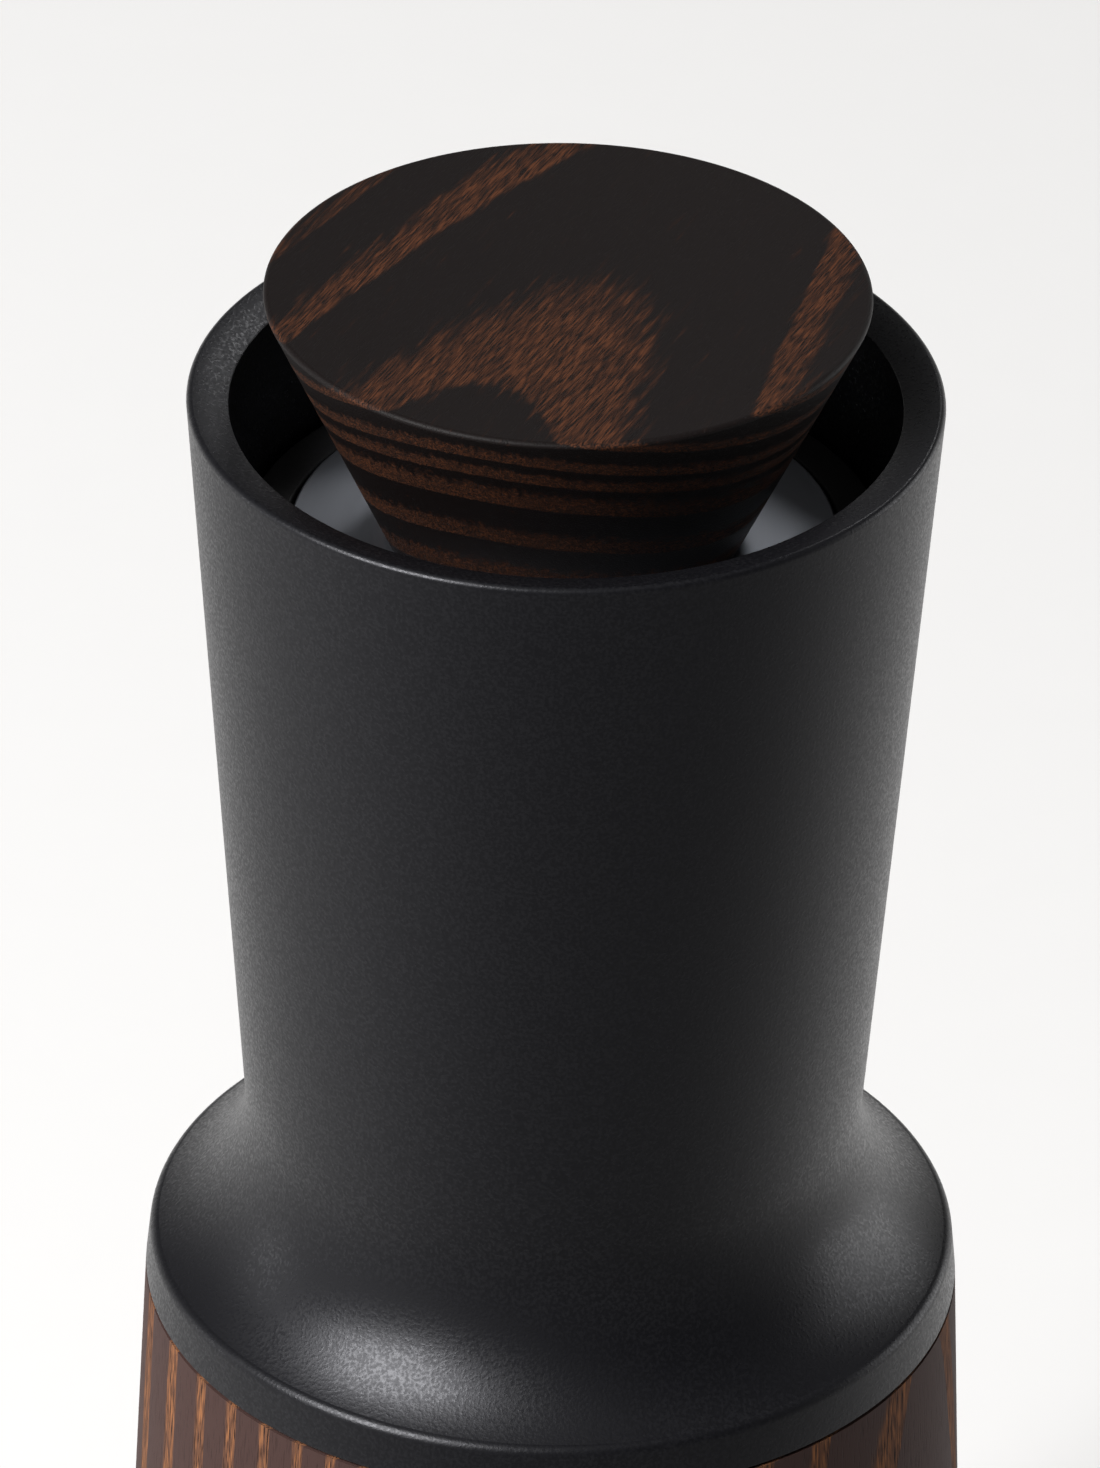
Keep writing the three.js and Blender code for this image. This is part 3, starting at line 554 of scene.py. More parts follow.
arms_top = upper_top - ARM_DROP
bearing_frame = turned("nylon_bearing_frame", [
    (frame_r, frame_bottom), (frame_r, flange_bottom), (flange_r, flange_bottom),
    (flange_r, flange_top), (frame_r, flange_top), (frame_r, frame_top),
    (frame_r - COLLAR_LIP, frame_top), (throat_r, throat_top), (throat_r, chamber_top),
    (chamber_r, chamber_top), (chamber_r, frame_bottom)])
combined(
    bearing_frame, "UNION",
    *[arm("arm", ARM_WIDTH, hub_r - MM, throat_r + ARM_ROOT, arms_top - ARM_HEIGHT, arms_top, a)
      for a in ARM_ANGLES],
    bar("hub", hub_r, lower_bottom - GAP / 2, upper_top + GAP / 2, 96))
combined(
    bearing_frame, "DIFFERENCE",
    bar("bore", bearing_r - HUB_STEP, lower_bottom - MM, upper_top + MM, 96),
    bar("lower seat", bearing_r + GAP, lower_bottom - MM, lower_top + GAP, 96),
    bar("upper seat", bearing_r + GAP, upper_bottom - GAP, upper_top + MM, 96),
    *[bar("hole", SCREW_SHANK_R + GAP, flange_bottom - MM, flange_top + MM, 24, place)
      for place in frame_screw_places],
    *[arm("keyway", KEYWAY_WIDTH, chamber_r - MM, chamber_r + KEYWAY_DEPTH, frame_bottom - MM,
          frame_bottom + KEYWAY_HEIGHT, a) for a in KEY_ANGLES])
eased(bearing_frame, 0.2 * MM, segments=2, angle=40)
fitted(bearing_frame, "body", "black_nylon", nylon, "bearing_frame")


# ---- Bearings ----------------------------------------------------------------------------------
# Two sealed ball bearings of bright steel, pressed into the hub from both ends. Each shows its
# two races with the shield sunk between them.
SHAFT_R = 4.0 * MM
RUNNING_CLEARANCE = 0.1 * MM
INNER_RACE_R = 5.3 * MM
SHIELD_R = 6.9 * MM
SHIELD_DIP = 0.25 * MM

bright_steel = machined("bright steel", (0.66, 0.66, 0.67), 0.24, line=0.15 * MM, depth=0.002 * MM)

for node, bottom, top in (("upper_bearing", upper_bottom, upper_top),
                          ("lower_bearing", lower_bottom, lower_top)):
    bore = SHAFT_R + RUNNING_CLEARANCE
    bearing = turned("sealed_" + node, [
        (bore, bottom), (INNER_RACE_R, bottom), (INNER_RACE_R, bottom + SHIELD_DIP),
        (SHIELD_R, bottom + SHIELD_DIP), (SHIELD_R, bottom), (bearing_r, bottom),
        (bearing_r, top), (SHIELD_R, top), (SHIELD_R, top - SHIELD_DIP),
        (INNER_RACE_R, top - SHIELD_DIP), (INNER_RACE_R, top), (bore, top)], 96)
    eased(bearing, 0.1 * MM, segments=2)
    fitted(bearing, "body", "bright_steel", bright_steel, node)


# ---- Glide ring and frame screws ---------------------------------------------------------------
# The skirt turns on a ring of ivory acetal that lies on the flange. Under it, three socket-head
# screws hold the frame down on the wood.
GLIDE_WIDTH = 3.9 * MM
SOCKET_SHARE = 0.5  # of a screw head's radius
SOCKET_DEPTH = 0.65  # of a screw head's height
FRAME_SCREW_HEAD = 1.3 * MM

acetal = moulded("acetal", (0.66, 0.63, 0.56), 0.42, grain=0.6 * MM, depth=0.006 * MM, tone=0.05)

glide_ring = ring("acetal_glide_ring", glide_r - GLIDE_WIDTH, glide_r, glide_bottom, glide_top)
eased(glide_ring, 0.15 * MM)
fitted(glide_ring, "body", "acetal", acetal, "glide_ring")


def socket_screw(name, body_name, node, head_height, shank_r, head_up):
    """A screw with a hexagonal socket, where its node is."""
    low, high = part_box(node)
    place = middle(node)
    head_r = (high.x - low.x) / 2
    face, tip, way = (high.z, low.z, -1) if head_up else (low.z, high.z, 1)
    seat = face + way * head_height
    key_end = face + way * SOCKET_DEPTH * head_height
    screw = bar(name, head_r, *sorted((face, seat)), 48, place)
    combined(screw, "UNION", bar("shank", shank_r, *sorted((seat - way * GAP, tip)), 32, place))
    combined(screw, "DIFFERENCE",
             bar("socket", head_r * SOCKET_SHARE, *sorted((face - way * GAP, key_end)), 6, place))
    eased(screw, 0.12 * MM, segments=2, angle=40)
    return fitted(screw, body_name, "bright_steel", bright_steel, node)


for i in (1, 2, 3):
    socket_screw(f"flange_screw_{i}", "body", f"frame_screw_{i}", FRAME_SCREW_HEAD,
                 SCREW_SHANK_R, True)


# ---- Ring burr, carrier, spring and dial -------------------------------------------------------
# The outer burr sits in a keyed aluminium carrier. A wave spring pushes the carrier down on the
# notched dial, which the fingers turn from below to set the grind.
TEETH = 20
TOOTH_DEPTH = 0.8 * MM
BURR_TWIST = 8.0  # turns of the teeth for each metre of height
RING_BURR_WALL = 2.1 * MM
RING_BURR_LIP = 2.2 * MM
BURR_THROAT = 4.2 * MM
CARRIER_LIP = 1.8 * MM
KEY_WIDTH = 4.0 * MM
KEY_RISE = 5.0 * MM
KEY_HEIGHT = 10.0 * MM
SPRING_CLEARANCE = 0.2 * MM
SPRING_WIDTH = 1.5 * MM
SPRING_THICKNESS = 0.5 * MM
SPRING_WAVES = 3
NOTCHES = 16
NOTCH_DEPTH = 0.9 * MM
GRIP_HEIGHT = 4.2 * MM
GRIP_EDGE = 0.6 * MM

burr_steel = machined("hardened steel", (0.30, 0.30, 0.31), 0.36, line=0.12 * MM, depth=0.006 * MM)


def carved(piece, shape):
    """Moves each point of a turned piece to the (radius, height) that shape gives for its own
    radius, height and angle."""
    for vertex in piece.data.vertices:
        radius, angle = math.hypot(vertex.co.x, vertex.co.y), math.atan2(vertex.co.y, vertex.co.x)
        radius, height = shape(radius, vertex.co.z, angle)
        vertex.co = (radius * math.cos(angle), radius * math.sin(angle), height)
    return piece


def saw_tooth(angle, height, teeth):
    """Rises from 0 to 1 across each tooth, and the teeth turn as they climb."""
    return (teeth * (angle / (2 * math.pi) + height * BURR_TWIST)) % 1.0


def steps_along(start, end, steps):
    """Points along a straight line, without its end."""
    return [tuple(a + (b - a) * i / steps for a, b in zip(start, end)) for i in range(steps)]


burr_r, ring_bottom, ring_top = span("ring_burr")
exit_point = (burr_r - RING_BURR_WALL, ring_bottom)
narrow_point = (exit_point[0] - BURR_THROAT / 2, ring_bottom + BURR_THROAT)
feed_point = (narrow_point[0] + MM, narrow_point[1] + BURR_THROAT)
lip_point = (burr_r - RING_BURR_LIP, ring_top)
ring_burr = turned("steel_ring_burr", [
    *steps_along(exit_point, narrow_point, 5), *steps_along(narrow_point, feed_point, 4),
    *steps_along(feed_point, lip_point, 6), lip_point, (burr_r, ring_top), (burr_r, ring_bottom),
], 12 * TEETH)
carved(ring_burr, lambda radius, height, angle: (
    radius + TOOTH_DEPTH * saw_tooth(angle, height, TEETH) * (radius < burr_r - MM), height))
fitted(ring_burr, "carrier", "burr_steel", burr_steel, "ring_burr")

carrier_bottom, carrier_top = span("burr_carrier")[1:]
carrier_r = chamber_r - GAP
outlet_r = burr_r - CARRIER_LIP
carrier = turned("aluminium_carrier", [
    (outlet_r, carrier_bottom), (carrier_r, carrier_bottom), (carrier_r, carrier_top),
    (burr_r + GAP, carrier_top), (burr_r + GAP, ring_bottom - GAP), (outlet_r, ring_bottom - GAP)])
combined(carrier, "UNION", *[
    arm("key", KEY_WIDTH, carrier_r - MM, span("burr_carrier")[0], carrier_bottom + KEY_RISE,
        carrier_bottom + KEY_RISE + KEY_HEIGHT, a) for a in KEY_ANGLES])
eased(carrier, 0.2 * MM, segments=2, angle=40)
fitted(carrier, "carrier", "aluminium", aluminium, "burr_carrier")

spring_r = carrier_r - SPRING_CLEARANCE
spring_bottom, spring_top = span("wave_spring")[1:]
spring_middle = (spring_bottom + spring_top) / 2
spring_wave = (spring_top - spring_bottom - SPRING_THICKNESS) / 2
wave_spring = ring("wave_spring_washer", spring_r - SPRING_WIDTH, spring_r,
                   spring_middle - SPRING_THICKNESS / 2, spring_middle + SPRING_THICKNESS / 2)
carved(wave_spring, lambda radius, height, angle: (
    radius, height - spring_wave * math.sin(SPRING_WAVES * angle)))
eased(wave_spring, 0.1 * MM, segments=2, angle=50)
fitted(wave_spring, "body", "bright_steel", bright_steel, "wave_spring")

dial_bottom, dial_top = span("adjust_dial")[1:]
grip_top = dial_bottom + GRIP_HEIGHT
dial = turned("notched_dial", [
    (outlet_r, dial_bottom), (frame_r - GRIP_EDGE, dial_bottom), (frame_r, dial_bottom + GRIP_EDGE),
    (frame_r, grip_top - GRIP_EDGE), (frame_r - GRIP_EDGE, grip_top), (carrier_r, grip_top),
    (carrier_r, dial_top), (outlet_r, dial_top)], 12 * NOTCHES)
carved(dial, lambda radius, height, angle: (
    radius - NOTCH_DEPTH * max(0, math.cos(NOTCHES * angle)) * (radius > carrier_r + MM), height))
eased(dial, 0.15 * MM, segments=2, angle=35)
fitted(dial, "dial", "aluminium", aluminium, "adjust_dial")


# ---- Crank head --------------------------------------------------------------------------------
# The crank itself: cup, sleeve, flared skirt and band, spun from aluminium in one shell. The
# coating is a black textured powder, baked on, that breaks the light into grains.
SLEEVE_LENGTH = 65.0 * MM
SLEEVE_TAPER = 0.0714
SLEEVE_WALL = 3.35 * MM
RIM_FALL = 0.88 * MM
RIM_EDGE = 0.5 * MM
FLARE_REACH = 7.77 * MM
FLARE_ANGLE = 61.7
BAND_STEP = 0.37 * MM
BAND_HEIGHT = 3.75 * MM
LIP_R = 1.0 * MM  # rounded lip at the skirt's edge
LIP_TOP = 72  # the lip's highest slope and the flare's last one, in degrees from vertical
LIP_START = 58.5
GROOVE_R = 0.3 * MM
RECESS_DEPTH = 5.9 * MM
HEAD_SEAM = 0.15 * MM
COLLAR_CLEARANCE = 0.8 * MM
COAT_GRAIN = 0.28 * MM
COAT_RELIEF = 0.02 * MM
COAT_DARK = (0.003, 0.003, 0.004)
COAT_LIGHT = (0.009, 0.009, 0.0105)
COAT_TINT = (0.95, 0.95, 1.0, 1.0)

skirt_r, skirt_bottom, rim_top = span("crank_sleeve")
neck_r = skirt_r - BAND_STEP - FLARE_REACH
rim_r = neck_r + SLEEVE_TAPER * SLEEVE_LENGTH
neck_height = rim_top - SLEEVE_LENGTH
neck_slope = math.atan(SLEEVE_TAPER)
flare_r = FLARE_REACH / (math.cos(neck_slope) - math.cos(math.radians(FLARE_ANGLE)))
flare_centre = (neck_r + flare_r * math.cos(neck_slope),
                neck_height - flare_r * math.sin(neck_slope))
lip_foot = math.degrees(math.atan(BAND_STEP / BAND_HEIGHT))
groove_centre = arc(flare_centre, flare_r - GROOVE_R, 180 + LIP_START, 180 + LIP_START, 1)[0]
lip_centre = arc(groove_centre, GROOVE_R + LIP_R, 180 + LIP_TOP, 180 + LIP_TOP, 1)[0]
recess_r = frame_r + COLLAR_CLEARANCE
recess_top = skirt_bottom + RECESS_DEPTH


def powder_coat():
    """Black textured powder coat: hard round grains, glossy on top and matte between."""
    material, tree, shader = new_material("powder coat", (0.006, 0.006, 0.007), 0.4, 0.0, 0.3)
    point = add(tree, "ShaderNodeTexCoord").outputs["Object"]
    coat = placed(tree, MOULDED_GRAIN, Point=point, Grain_size=COAT_GRAIN)
    tops = step_between(tree, coat.outputs["Grain"], 0.38, 0.66)
    shade = color_between(tree, tops, COAT_DARK, COAT_LIGHT)
    tree.links.new(shade, shader.inputs["Base Color"])
    tree.links.new(between(tree, tops, 0.42, 0.27), shader.inputs["Roughness"])
    shader.inputs["Specular Tint"].default_value = COAT_TINT
    bump = add(tree, "ShaderNodeBump", {"Height": coat.outputs["Grain"], "Distance": COAT_RELIEF})
    tree.links.new(bump.outputs[0], shader.inputs["Normal"])
    return material


powder = powder_coat()

crank_head = turned("crank_head", [
    (recess_r, skirt_bottom + HEAD_SEAM), (flange_r + GAP, skirt_bottom + HEAD_SEAM),
    (flange_r + GAP, skirt_bottom), (skirt_r, skirt_bottom),
    *arc(lip_centre, LIP_R, lip_foot, LIP_TOP, 10),
    *arc(groove_centre, GROOVE_R, 180 + LIP_TOP, 180 + LIP_START, 4)[1:],
    *arc(flare_centre, flare_r, 180 + LIP_START, 180 - math.degrees(neck_slope), 30)[1:],
    *arc((rim_r - RIM_EDGE, rim_top - RIM_EDGE), RIM_EDGE, 0, 90, 6),
    (rim_r - SLEEVE_WALL, rim_top - RIM_FALL), (neck_r - SLEEVE_WALL, neck_height),
    (neck_r - SLEEVE_WALL, recess_top), (recess_r, recess_top)], 256)
eased(crank_head, 0.3 * MM)
fitted(crank_head, "head", "powder_coat", powder, "crank_sleeve")


# ---- Drive spider and its screws ---------------------------------------------------------------
# A turned and milled aluminium part that carries the head's turning to the shaft: a ring screwed
# up under the sleeve's shoulder, and a hub with a hexagonal hole on three arms.
SPIDER_HUB_R = 7.0 * MM
SPIDER_HEIGHT = 3.5 * MM
SPIDER_SCREW_HEAD = 1.7 * MM
SPIDER_ARM_ROOT = 0.7 * MM
HEX_CLEARANCE = 0.36 * MM

spider_r, hub_bottom, hub_top = span("drive_spider")
spider_bottom = hub_bottom + GAP
spider_top = spider_bottom + SPIDER_HEIGHT
spider_inner = neck_r - SLEEVE_WALL + GAP
spider_screw_places = [middle(f"spider_screw_{i}") for i in (1, 2, 3)]
spider = ring("milled_spider", spider_inner, spider_r, spider_bottom, spider_top)
combined(spider, "UNION",
         *[arm("arm", ARM_WIDTH, SPIDER_HUB_R - MM, spider_inner + SPIDER_ARM_ROOT,
               spider_bottom, spider_top, a) for a in ARM_ANGLES],
         bar("hub", SPIDER_HUB_R, hub_bottom, hub_top, 96))
combined(spider, "DIFFERENCE",
         bar("hexagon", SHAFT_R + HEX_CLEARANCE, hub_bottom - MM, hub_top + MM, 6),
         *[bar("hole", SCREW_SHANK_R + GAP, spider_bottom - MM, spider_top + MM, 24, place)
           for place in spider_screw_places])
eased(spider, 0.25 * MM, segments=2, angle=40)
fitted(spider, "head", "aluminium", aluminium, "drive_spider")

for i in (1, 2, 3):
    socket_screw(f"shoulder_screw_{i}", "head", f"spider_screw_{i}", SPIDER_SCREW_HEAD,
                 SCREW_SHANK_R, False)


# ---- Drive shaft, nut and spacer ---------------------------------------------------------------
# The steel shaft is round in the bearings and hexagonal in the spider and the inner burr. A cap
# nut on its top thread clamps the spider down on the spacer sleeve and the upper bearing.
THREAD_R = 3.0 * MM
NUT_R = 5.6 * MM
CAP_R = 4.6 * MM
CAP_SINK = 0.2 * MM  # how far the dome starts below the flats' top
CAP_SQUASH = 0.65
NUT_FLATS = 3.2 * MM

shaft_bottom, shaft_top = span("drive_shaft")[1:]
shaft = bar("steel_shaft", SHAFT_R, shaft_bottom, lower_bottom, 6)
combined(shaft, "UNION",
         bar("journal", SHAFT_R, lower_bottom - GAP, hub_bottom, 96),
         bar("hexagon", SHAFT_R, hub_bottom - GAP, hub_top, 6),
         bar("thread", THREAD_R, hub_top - GAP, shaft_top, 64))
eased(shaft, 0.2 * MM, segments=2, angle=40)
fitted(shaft, "head", "bright_steel", bright_steel, "drive_shaft")

nut_bottom = span("shaft_nut")[1]
flats_top = nut_bottom + NUT_FLATS
dome_foot = flats_top - CAP_SINK
dome = [(radius, dome_foot + CAP_SQUASH * height)
        for radius, height in arc((0, 0), CAP_R, 0, 90, 12)]
nut = bar("cap_nut", NUT_R, nut_bottom, flats_top, 6)
combined(nut, "UNION", turned("dome", [(0, dome_foot - MM), (CAP_R, dome_foot - MM), *dome], 96))
combined(nut, "DIFFERENCE", bar("thread", THREAD_R + GAP, nut_bottom - MM, shaft_top + GAP, 64))
eased(nut, 0.2 * MM, segments=3, angle=40)
fitted(nut, "head", "bright_steel", bright_steel, "shaft_nut")

spacer_r, spacer_bottom, spacer_top = span("spacer_sleeve")
spacer = ring("spacer_tube", SHAFT_R + GAP, spacer_r, spacer_bottom, spacer_top, 96)
eased(spacer, 0.2 * MM)
fitted(spacer, "head", "aluminium", aluminium, "spacer_sleeve")


# ---- Inner burr, washer and bolt ---------------------------------------------------------------
# The fluted cone that draws the beans down and shears them against the ring burr. A bolt and a
# washer hold it up on the shaft's hexagon.
BURR_R = 18.25 * MM
BURR_TOP_R = 8.8 * MM
BURR_NECK_R = 6.3 * MM
BURR_NECK = 2.6 * MM
BURR_EDGE = 0.8 * MM
FLUTES = 8
EDGE_TOOTH = 0.5 * MM
FLUTE_DEPTH = 2.4 * MM
BOLT_R = 2.0 * MM
BOLT_HEAD = 4.0 * MM

cone_bottom, cone_top = span("inner_burr")[1:]
neck_bottom = cone_top - BURR_NECK
cone_edge = (BURR_R, cone_bottom + BURR_EDGE)
shoulder = (BURR_TOP_R, neck_bottom)
hex_hole_r = SHAFT_R + HEX_CLEARANCE


def fluted(radius, height, angle):
    """The cone's own radius, less its teeth at the edge and its deeper flutes above them."""
    if radius < BURR_NECK_R + MM:
        return radius, height
    rise = (height - cone_bottom) / (cone_top - cone_bottom)
    teeth = FLUTES if height > cone_bottom + BURR_THROAT else TEETH
    depth = EDGE_TOOTH + (FLUTE_DEPTH - EDGE_TOOTH) * rise
    return radius - depth * saw_tooth(angle, height, teeth), height


inner_burr = turned("steel_inner_burr", [
    (hex_hole_r, cone_bottom), (BURR_R, cone_bottom), *steps_along(cone_edge, shoulder, 14),
    shoulder, (BURR_NECK_R, neck_bottom), (BURR_NECK_R, cone_top), (hex_hole_r, cone_top)], 240)
carved(inner_burr, fluted)
fitted(inner_burr, "head", "burr_steel", burr_steel, "inner_burr")

washer_r, washer_bottom, washer_top = span("burr_washer")
washer = ring("steel_washer", BOLT_R + GAP, washer_r, washer_bottom, washer_top, 96)
eased(washer, 0.2 * MM)
fitted(washer, "head", "bright_steel", bright_steel, "burr_washer")

bolt_low, bolt_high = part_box("burr_bolt")
bolt = bar("burr_bolt_hex", bolt_high.y, bolt_low.z, bolt_low.z + BOLT_HEAD, 6)
combined(bolt, "UNION", bar("shank", BOLT_R, bolt_low.z + BOLT_HEAD - GAP, bolt_high.z, 48))
eased(bolt, 0.25 * MM, segments=2, angle=40)
fitted(bolt, "head", "bright_steel", bright_steel, "burr_bolt")


# ---- Hopper ring -------------------------------------------------------------------------------
# A turned ring of black nylon, pressed low into the mouth. The lid's plate drops into its rebate,
# flush with its satin top face.
HOPPER_LIP = 5.2 * MM

mouth_slope = (rim_r - neck_r) / (rim_top - RIM_FALL - neck_height)
hopper_r, hopper_bottom, hopper_top = span("hopper_ring")
plate_r, plate_bottom, plate_top = span("lid_plate")
gasket_r, gasket_bottom, gasket_top = span("lid_gasket")
hopper_foot = hopper_r - mouth_slope * (hopper_top - hopper_bottom)
lip_r = hopper_r - HOPPER_LIP
hopper_ring = turned("nylon_hopper_ring", [
    (lip_r, hopper_bottom), (hopper_foot, hopper_bottom),
    (hopper_r, hopper_top), (plate_r + GAP, hopper_top), (plate_r + GAP, gasket_bottom - GAP),
    (lip_r, gasket_bottom - GAP)])
eased(hopper_ring, 0.3 * MM)
fitted(hopper_ring, "head", "black_nylon", nylon, "hopper_ring")


# ---- Lid plate, gasket and screw ---------------------------------------------------------------
# A stamped disc of satin stainless steel that closes the hopper, with a silicone ring under it
# and the countersunk screw that holds it to the knob.
GASKET_WIDTH = 1.4 * MM
LID_SCREW_R = 1.9 * MM
LID_SCREW_HEAD = 2.0 * MM

satin_steel = machined("satin steel", (0.44, 0.46, 0.51), 0.42, line=0.3 * MM, depth=0.002 * MM,
                       tone=0.08, gloss=0.06)

plate = ring("satin_lid_plate", LID_SCREW_R + GAP, plate_r, plate_bottom, plate_top)
eased(plate, 0.2 * MM)
fitted(plate, "lid", "satin_steel", satin_steel, "lid_plate")

gasket = ring("silicone_gasket", gasket_r - GASKET_WIDTH, gasket_r, gasket_bottom, gasket_top)
eased(gasket, 0.25 * MM)
fitted(gasket, "lid", "silicone", silicone, "lid_gasket")

socket_screw("knob_screw", "lid", "lid_screw", LID_SCREW_HEAD, LID_SCREW_R, False)


# ---- Lid knob ----------------------------------------------------------------------------------
# A cone of ash, turned across the grain so that the rings cross its flat top as bands. It stands
# on its narrow end, and the fingers lift the lid by the overhanging edge.
KNOB_TAPER = 0.455
KNOB_EDGE = 0.3 * MM
PITH_DEPTH = 54.5 * MM  # below the knob's top
PITH_SIDE = 2.7 * MM
GRAIN_HEADING = 66  # degrees from +X
PITH_RISE = -3.3
KNOB_WANDER = 0.9 * MM
YEAR_EDGE = 0.1  # millimetres to each side of a year's start
KNOB_RAGGED = 1.1
KNOB_LATE = (0.0042, 0.0022, 0.002)
KNOB_EARLY = (0.080, 0.026, 0.0100)
KNOB_PORE = (0.003, 0.002, 0.0018)
# Each year's spring wood: where it starts, in millimetres from the knob's top above the pith, how
# wide it is and how bright.
YEARS = [(5.2, 1.25, 0.45), (2.25, 1.25, 0.85), (-0.9, 1.25, 1.0), (-3.83, 1.6, 1.0),
         (-5.95, 1.6, 1.0), (-9.06, 2.7, 1.0), (-13.8, 2.4, 1.0), (-18.2, 2.5, 1.0)]
YEAR_RANGE = (-20.0, 8.0)

knob_r, knob_bottom, knob_top = span("lid_knob")
knob_foot = knob_r - KNOB_TAPER * (knob_top - knob_bottom)
hole_top = span("lid_screw")[2] + GAP


def knob_ash():
    """The knob's blank: its pith lies level, far below it, so that a few wide rings cross it."""
    material, tree, shader = new_material("knob ash", KNOB_LATE, 0.6, 0.0, 0.18)
    heading = math.radians(GRAIN_HEADING)
    place = (math.sin(heading) * PITH_SIDE, -math.cos(heading) * PITH_SIDE, knob_top - PITH_DEPTH)
    point = seen_from_pith(tree, place, GRAIN_HEADING, PITH_RISE)
    depth = calculate(tree, "SUBTRACT", distance_from_pith(tree, point, KNOB_WANDER), PITH_DEPTH)
    first, last = YEAR_RANGE
    scaled = add(tree, "ShaderNodeMapRange", {
        "Value": depth, "From Min": first * MM, "From Max": last * MM}).outputs[0]
    ramp = add(tree, "ShaderNodeValToRGB", {0: scaled})
    stops = ramp.color_ramp.elements
    stops[0].position, stops[0].color = 0.0, (0, 0, 0, 1)
    stops[1].position, stops[1].color = 1.0, (0, 0, 0, 1)
    for start, width, bright in YEARS:
        for offset, value in ((-YEAR_EDGE, 0), (YEAR_EDGE, bright), (width, 0)):
            stop = stops.new((start + offset - first) / (last - first))
            stop.color = (value, value, value, 1)
    stained_ash(tree, shader, point, ramp.outputs[0], KNOB_RAGGED, KNOB_LATE, KNOB_EARLY,
                KNOB_PORE, 0.55)
    return material


knob = turned("turned_knob", [
    (0, hole_top), (LID_SCREW_R + GAP, hole_top),
    (LID_SCREW_R + GAP, knob_bottom), (knob_foot, knob_bottom), (knob_r, knob_top - KNOB_EDGE),
    (knob_r - KNOB_EDGE, knob_top), (0, knob_top)], 256)
eased(knob, 0.2 * MM)
fitted(knob, "lid", "ash", knob_ash(), "lid_knob")


# ---- Floor, light and camera -------------------------------------------------------------------
# A wide pale floor, kept out of the object's reflections, in a room that is darker in front. The
# key light is high on the front left, and weaker ones behind and at the sides draw the edges.
FLOOR_SIZE = 60.0
CAMERA_BACK = 0.7665  # in front of the axis
CAMERA_RISE = 0.4486  # above the rim
CAMERA_DOWN = 32.075  # degrees below level
CAMERA_YAW = -0.061
CAMERA_ROLL = 1.01
LENS = 275.8  # millimetres, on a sensor 36 mm long
ROOM_TINT = (1.0, 0.99, 0.98)
WALL_LIGHT = 0.92
DARK_SIDE = 0.27  # share of that light in front
LIGHT_SIDE = (-0.35, 0.9, 0.0)  # towards the lighter walls, behind on the left
ROOM_LIGHT = 0.06
CEILING_LIGHT = 0.15
WALL_HEIGHTS = (-0.15, 0.35)  # where the walls' light starts to fall and where it ends
CEILING_HEIGHTS = (0.75, 0.9)
SIDE_RANGE = (-0.76, 0.1)
FLOOR_DARK = (0.765, 0.757, 0.75)
FLOOR_LIGHT = (0.775, 0.767, 0.76)
AIM_SHARE = 0.7  # of the rim's height

mesh = bmesh.new()
bmesh.ops.create_grid(mesh, x_segments=1, y_segments=1, size=FLOOR_SIZE / 2)
floor = made_object("floor", mesh)
floor_material, tree, shader = new_material("pale floor", FLOOR_LIGHT, 0.9, 0.0, 0.1)
point = add(tree, "ShaderNodeTexCoord").outputs["Object"]
speckle = noise(tree, point, 120, 3.0)
floor_color = color_between(tree, speckle, FLOOR_DARK, FLOOR_LIGHT)
tree.links.new(floor_color, shader.inputs["Base Color"])
floor.data.materials.append(floor_material)
floor.visible_diffuse = floor.visible_glossy = False

world = bpy.data.worlds.new("pale room")
bpy.context.scene.world = world
world.use_nodes = True
sky = world.node_tree
sky.nodes["Background"].inputs["Color"].default_value = (*ROOM_TINT, 1)


def ramp_between(value, start_end, low_high):
    """A straight ramp of the sky's light between two values of a direction."""
    limits = {"Value": value, "From Min": start_end[0], "From Max": start_end[1],
              "To Min": low_high[0], "To Max": low_high[1]}
    return add(sky, "ShaderNodeMapRange", limits).outputs[0]


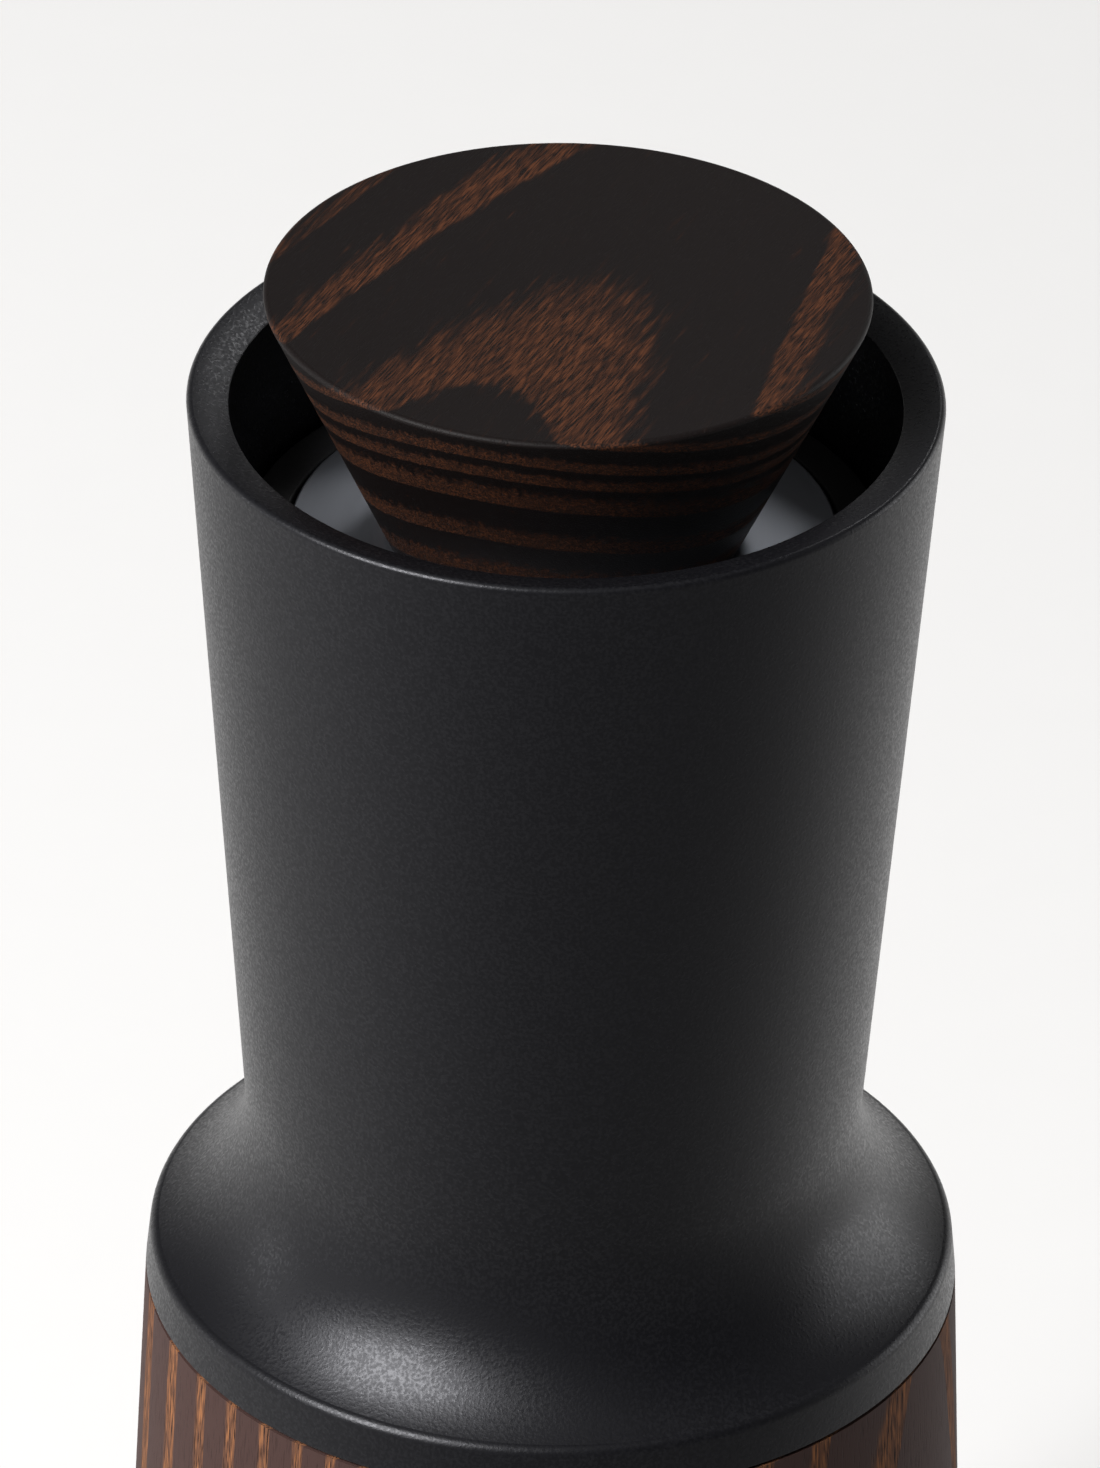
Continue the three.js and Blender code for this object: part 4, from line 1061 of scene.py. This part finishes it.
direction = add(sky, "ShaderNodeTexCoord").outputs["Generated"]
height = add(sky, "ShaderNodeSeparateXYZ", {0: direction}).outputs[2]
walls = ramp_between(height, WALL_HEIGHTS, (WALL_LIGHT, ROOM_LIGHT))
facing = add(sky, "ShaderNodeVectorMath", {0: direction, 1: LIGHT_SIDE}, operation="DOT_PRODUCT")
side = ramp_between(facing.outputs["Value"], SIDE_RANGE, (DARK_SIDE, 1.0))
ceiling = ramp_between(height, CEILING_HEIGHTS, (0.0, CEILING_LIGHT))
strength = calculate(sky, "MULTIPLY_ADD", walls, side, ceiling)
sky.links.new(strength, sky.nodes["Background"].inputs["Strength"])


def soft_light(name, place, target, size, power):
    """A soft rectangular light that the camera doesn't see."""
    light = bpy.data.lights.new(name, "AREA")
    light.shape = "RECTANGLE"
    light.size, light.size_y = size
    light.energy = power
    made = bpy.data.objects.new(name, light)
    bpy.context.scene.collection.objects.link(made)
    aim = Matrix.Translation(place)
    direction = Matrix.Translation(target).translation - aim.translation
    made.matrix_world = aim @ direction.to_track_quat("-Z", "Y").to_matrix().to_4x4()
    made.visible_camera = False
    return made


aim_point = (0, 0, rim_top * AIM_SHARE)
soft_light("key", (-1.34, -0.94, 1.61), aim_point, (1.2, 1.2), 92)
soft_light("back", (0.45, 1.67, 1.49), aim_point, (0.4, 0.4), 2.6)
soft_light("left strip", (-1.6, 0.3, 0.4), aim_point, (0.4, 0.9), 2)
soft_light("right strip", (1.6, 0.8, 0.4), aim_point, (1.2, 1.2), 9)

camera_data = bpy.data.cameras.new("camera")
camera_data.lens = LENS
camera_data.clip_start = 0.05
camera_data.clip_end = 200
camera = bpy.data.objects.new("camera", camera_data)
bpy.context.scene.collection.objects.link(camera)
camera.matrix_world = (
    Matrix.Translation((0, -CAMERA_BACK, rim_top + CAMERA_RISE))
    @ Matrix.Rotation(math.radians(-CAMERA_YAW), 4, "Z")
    @ Matrix.Rotation(math.radians(90 - CAMERA_DOWN), 4, "X")
    @ Matrix.Rotation(math.radians(CAMERA_ROLL), 4, "Z"))
bpy.context.scene.camera = camera
bpy.context.scene.view_settings.view_transform = "Standard"
bpy.context.scene.view_settings.look = "None"
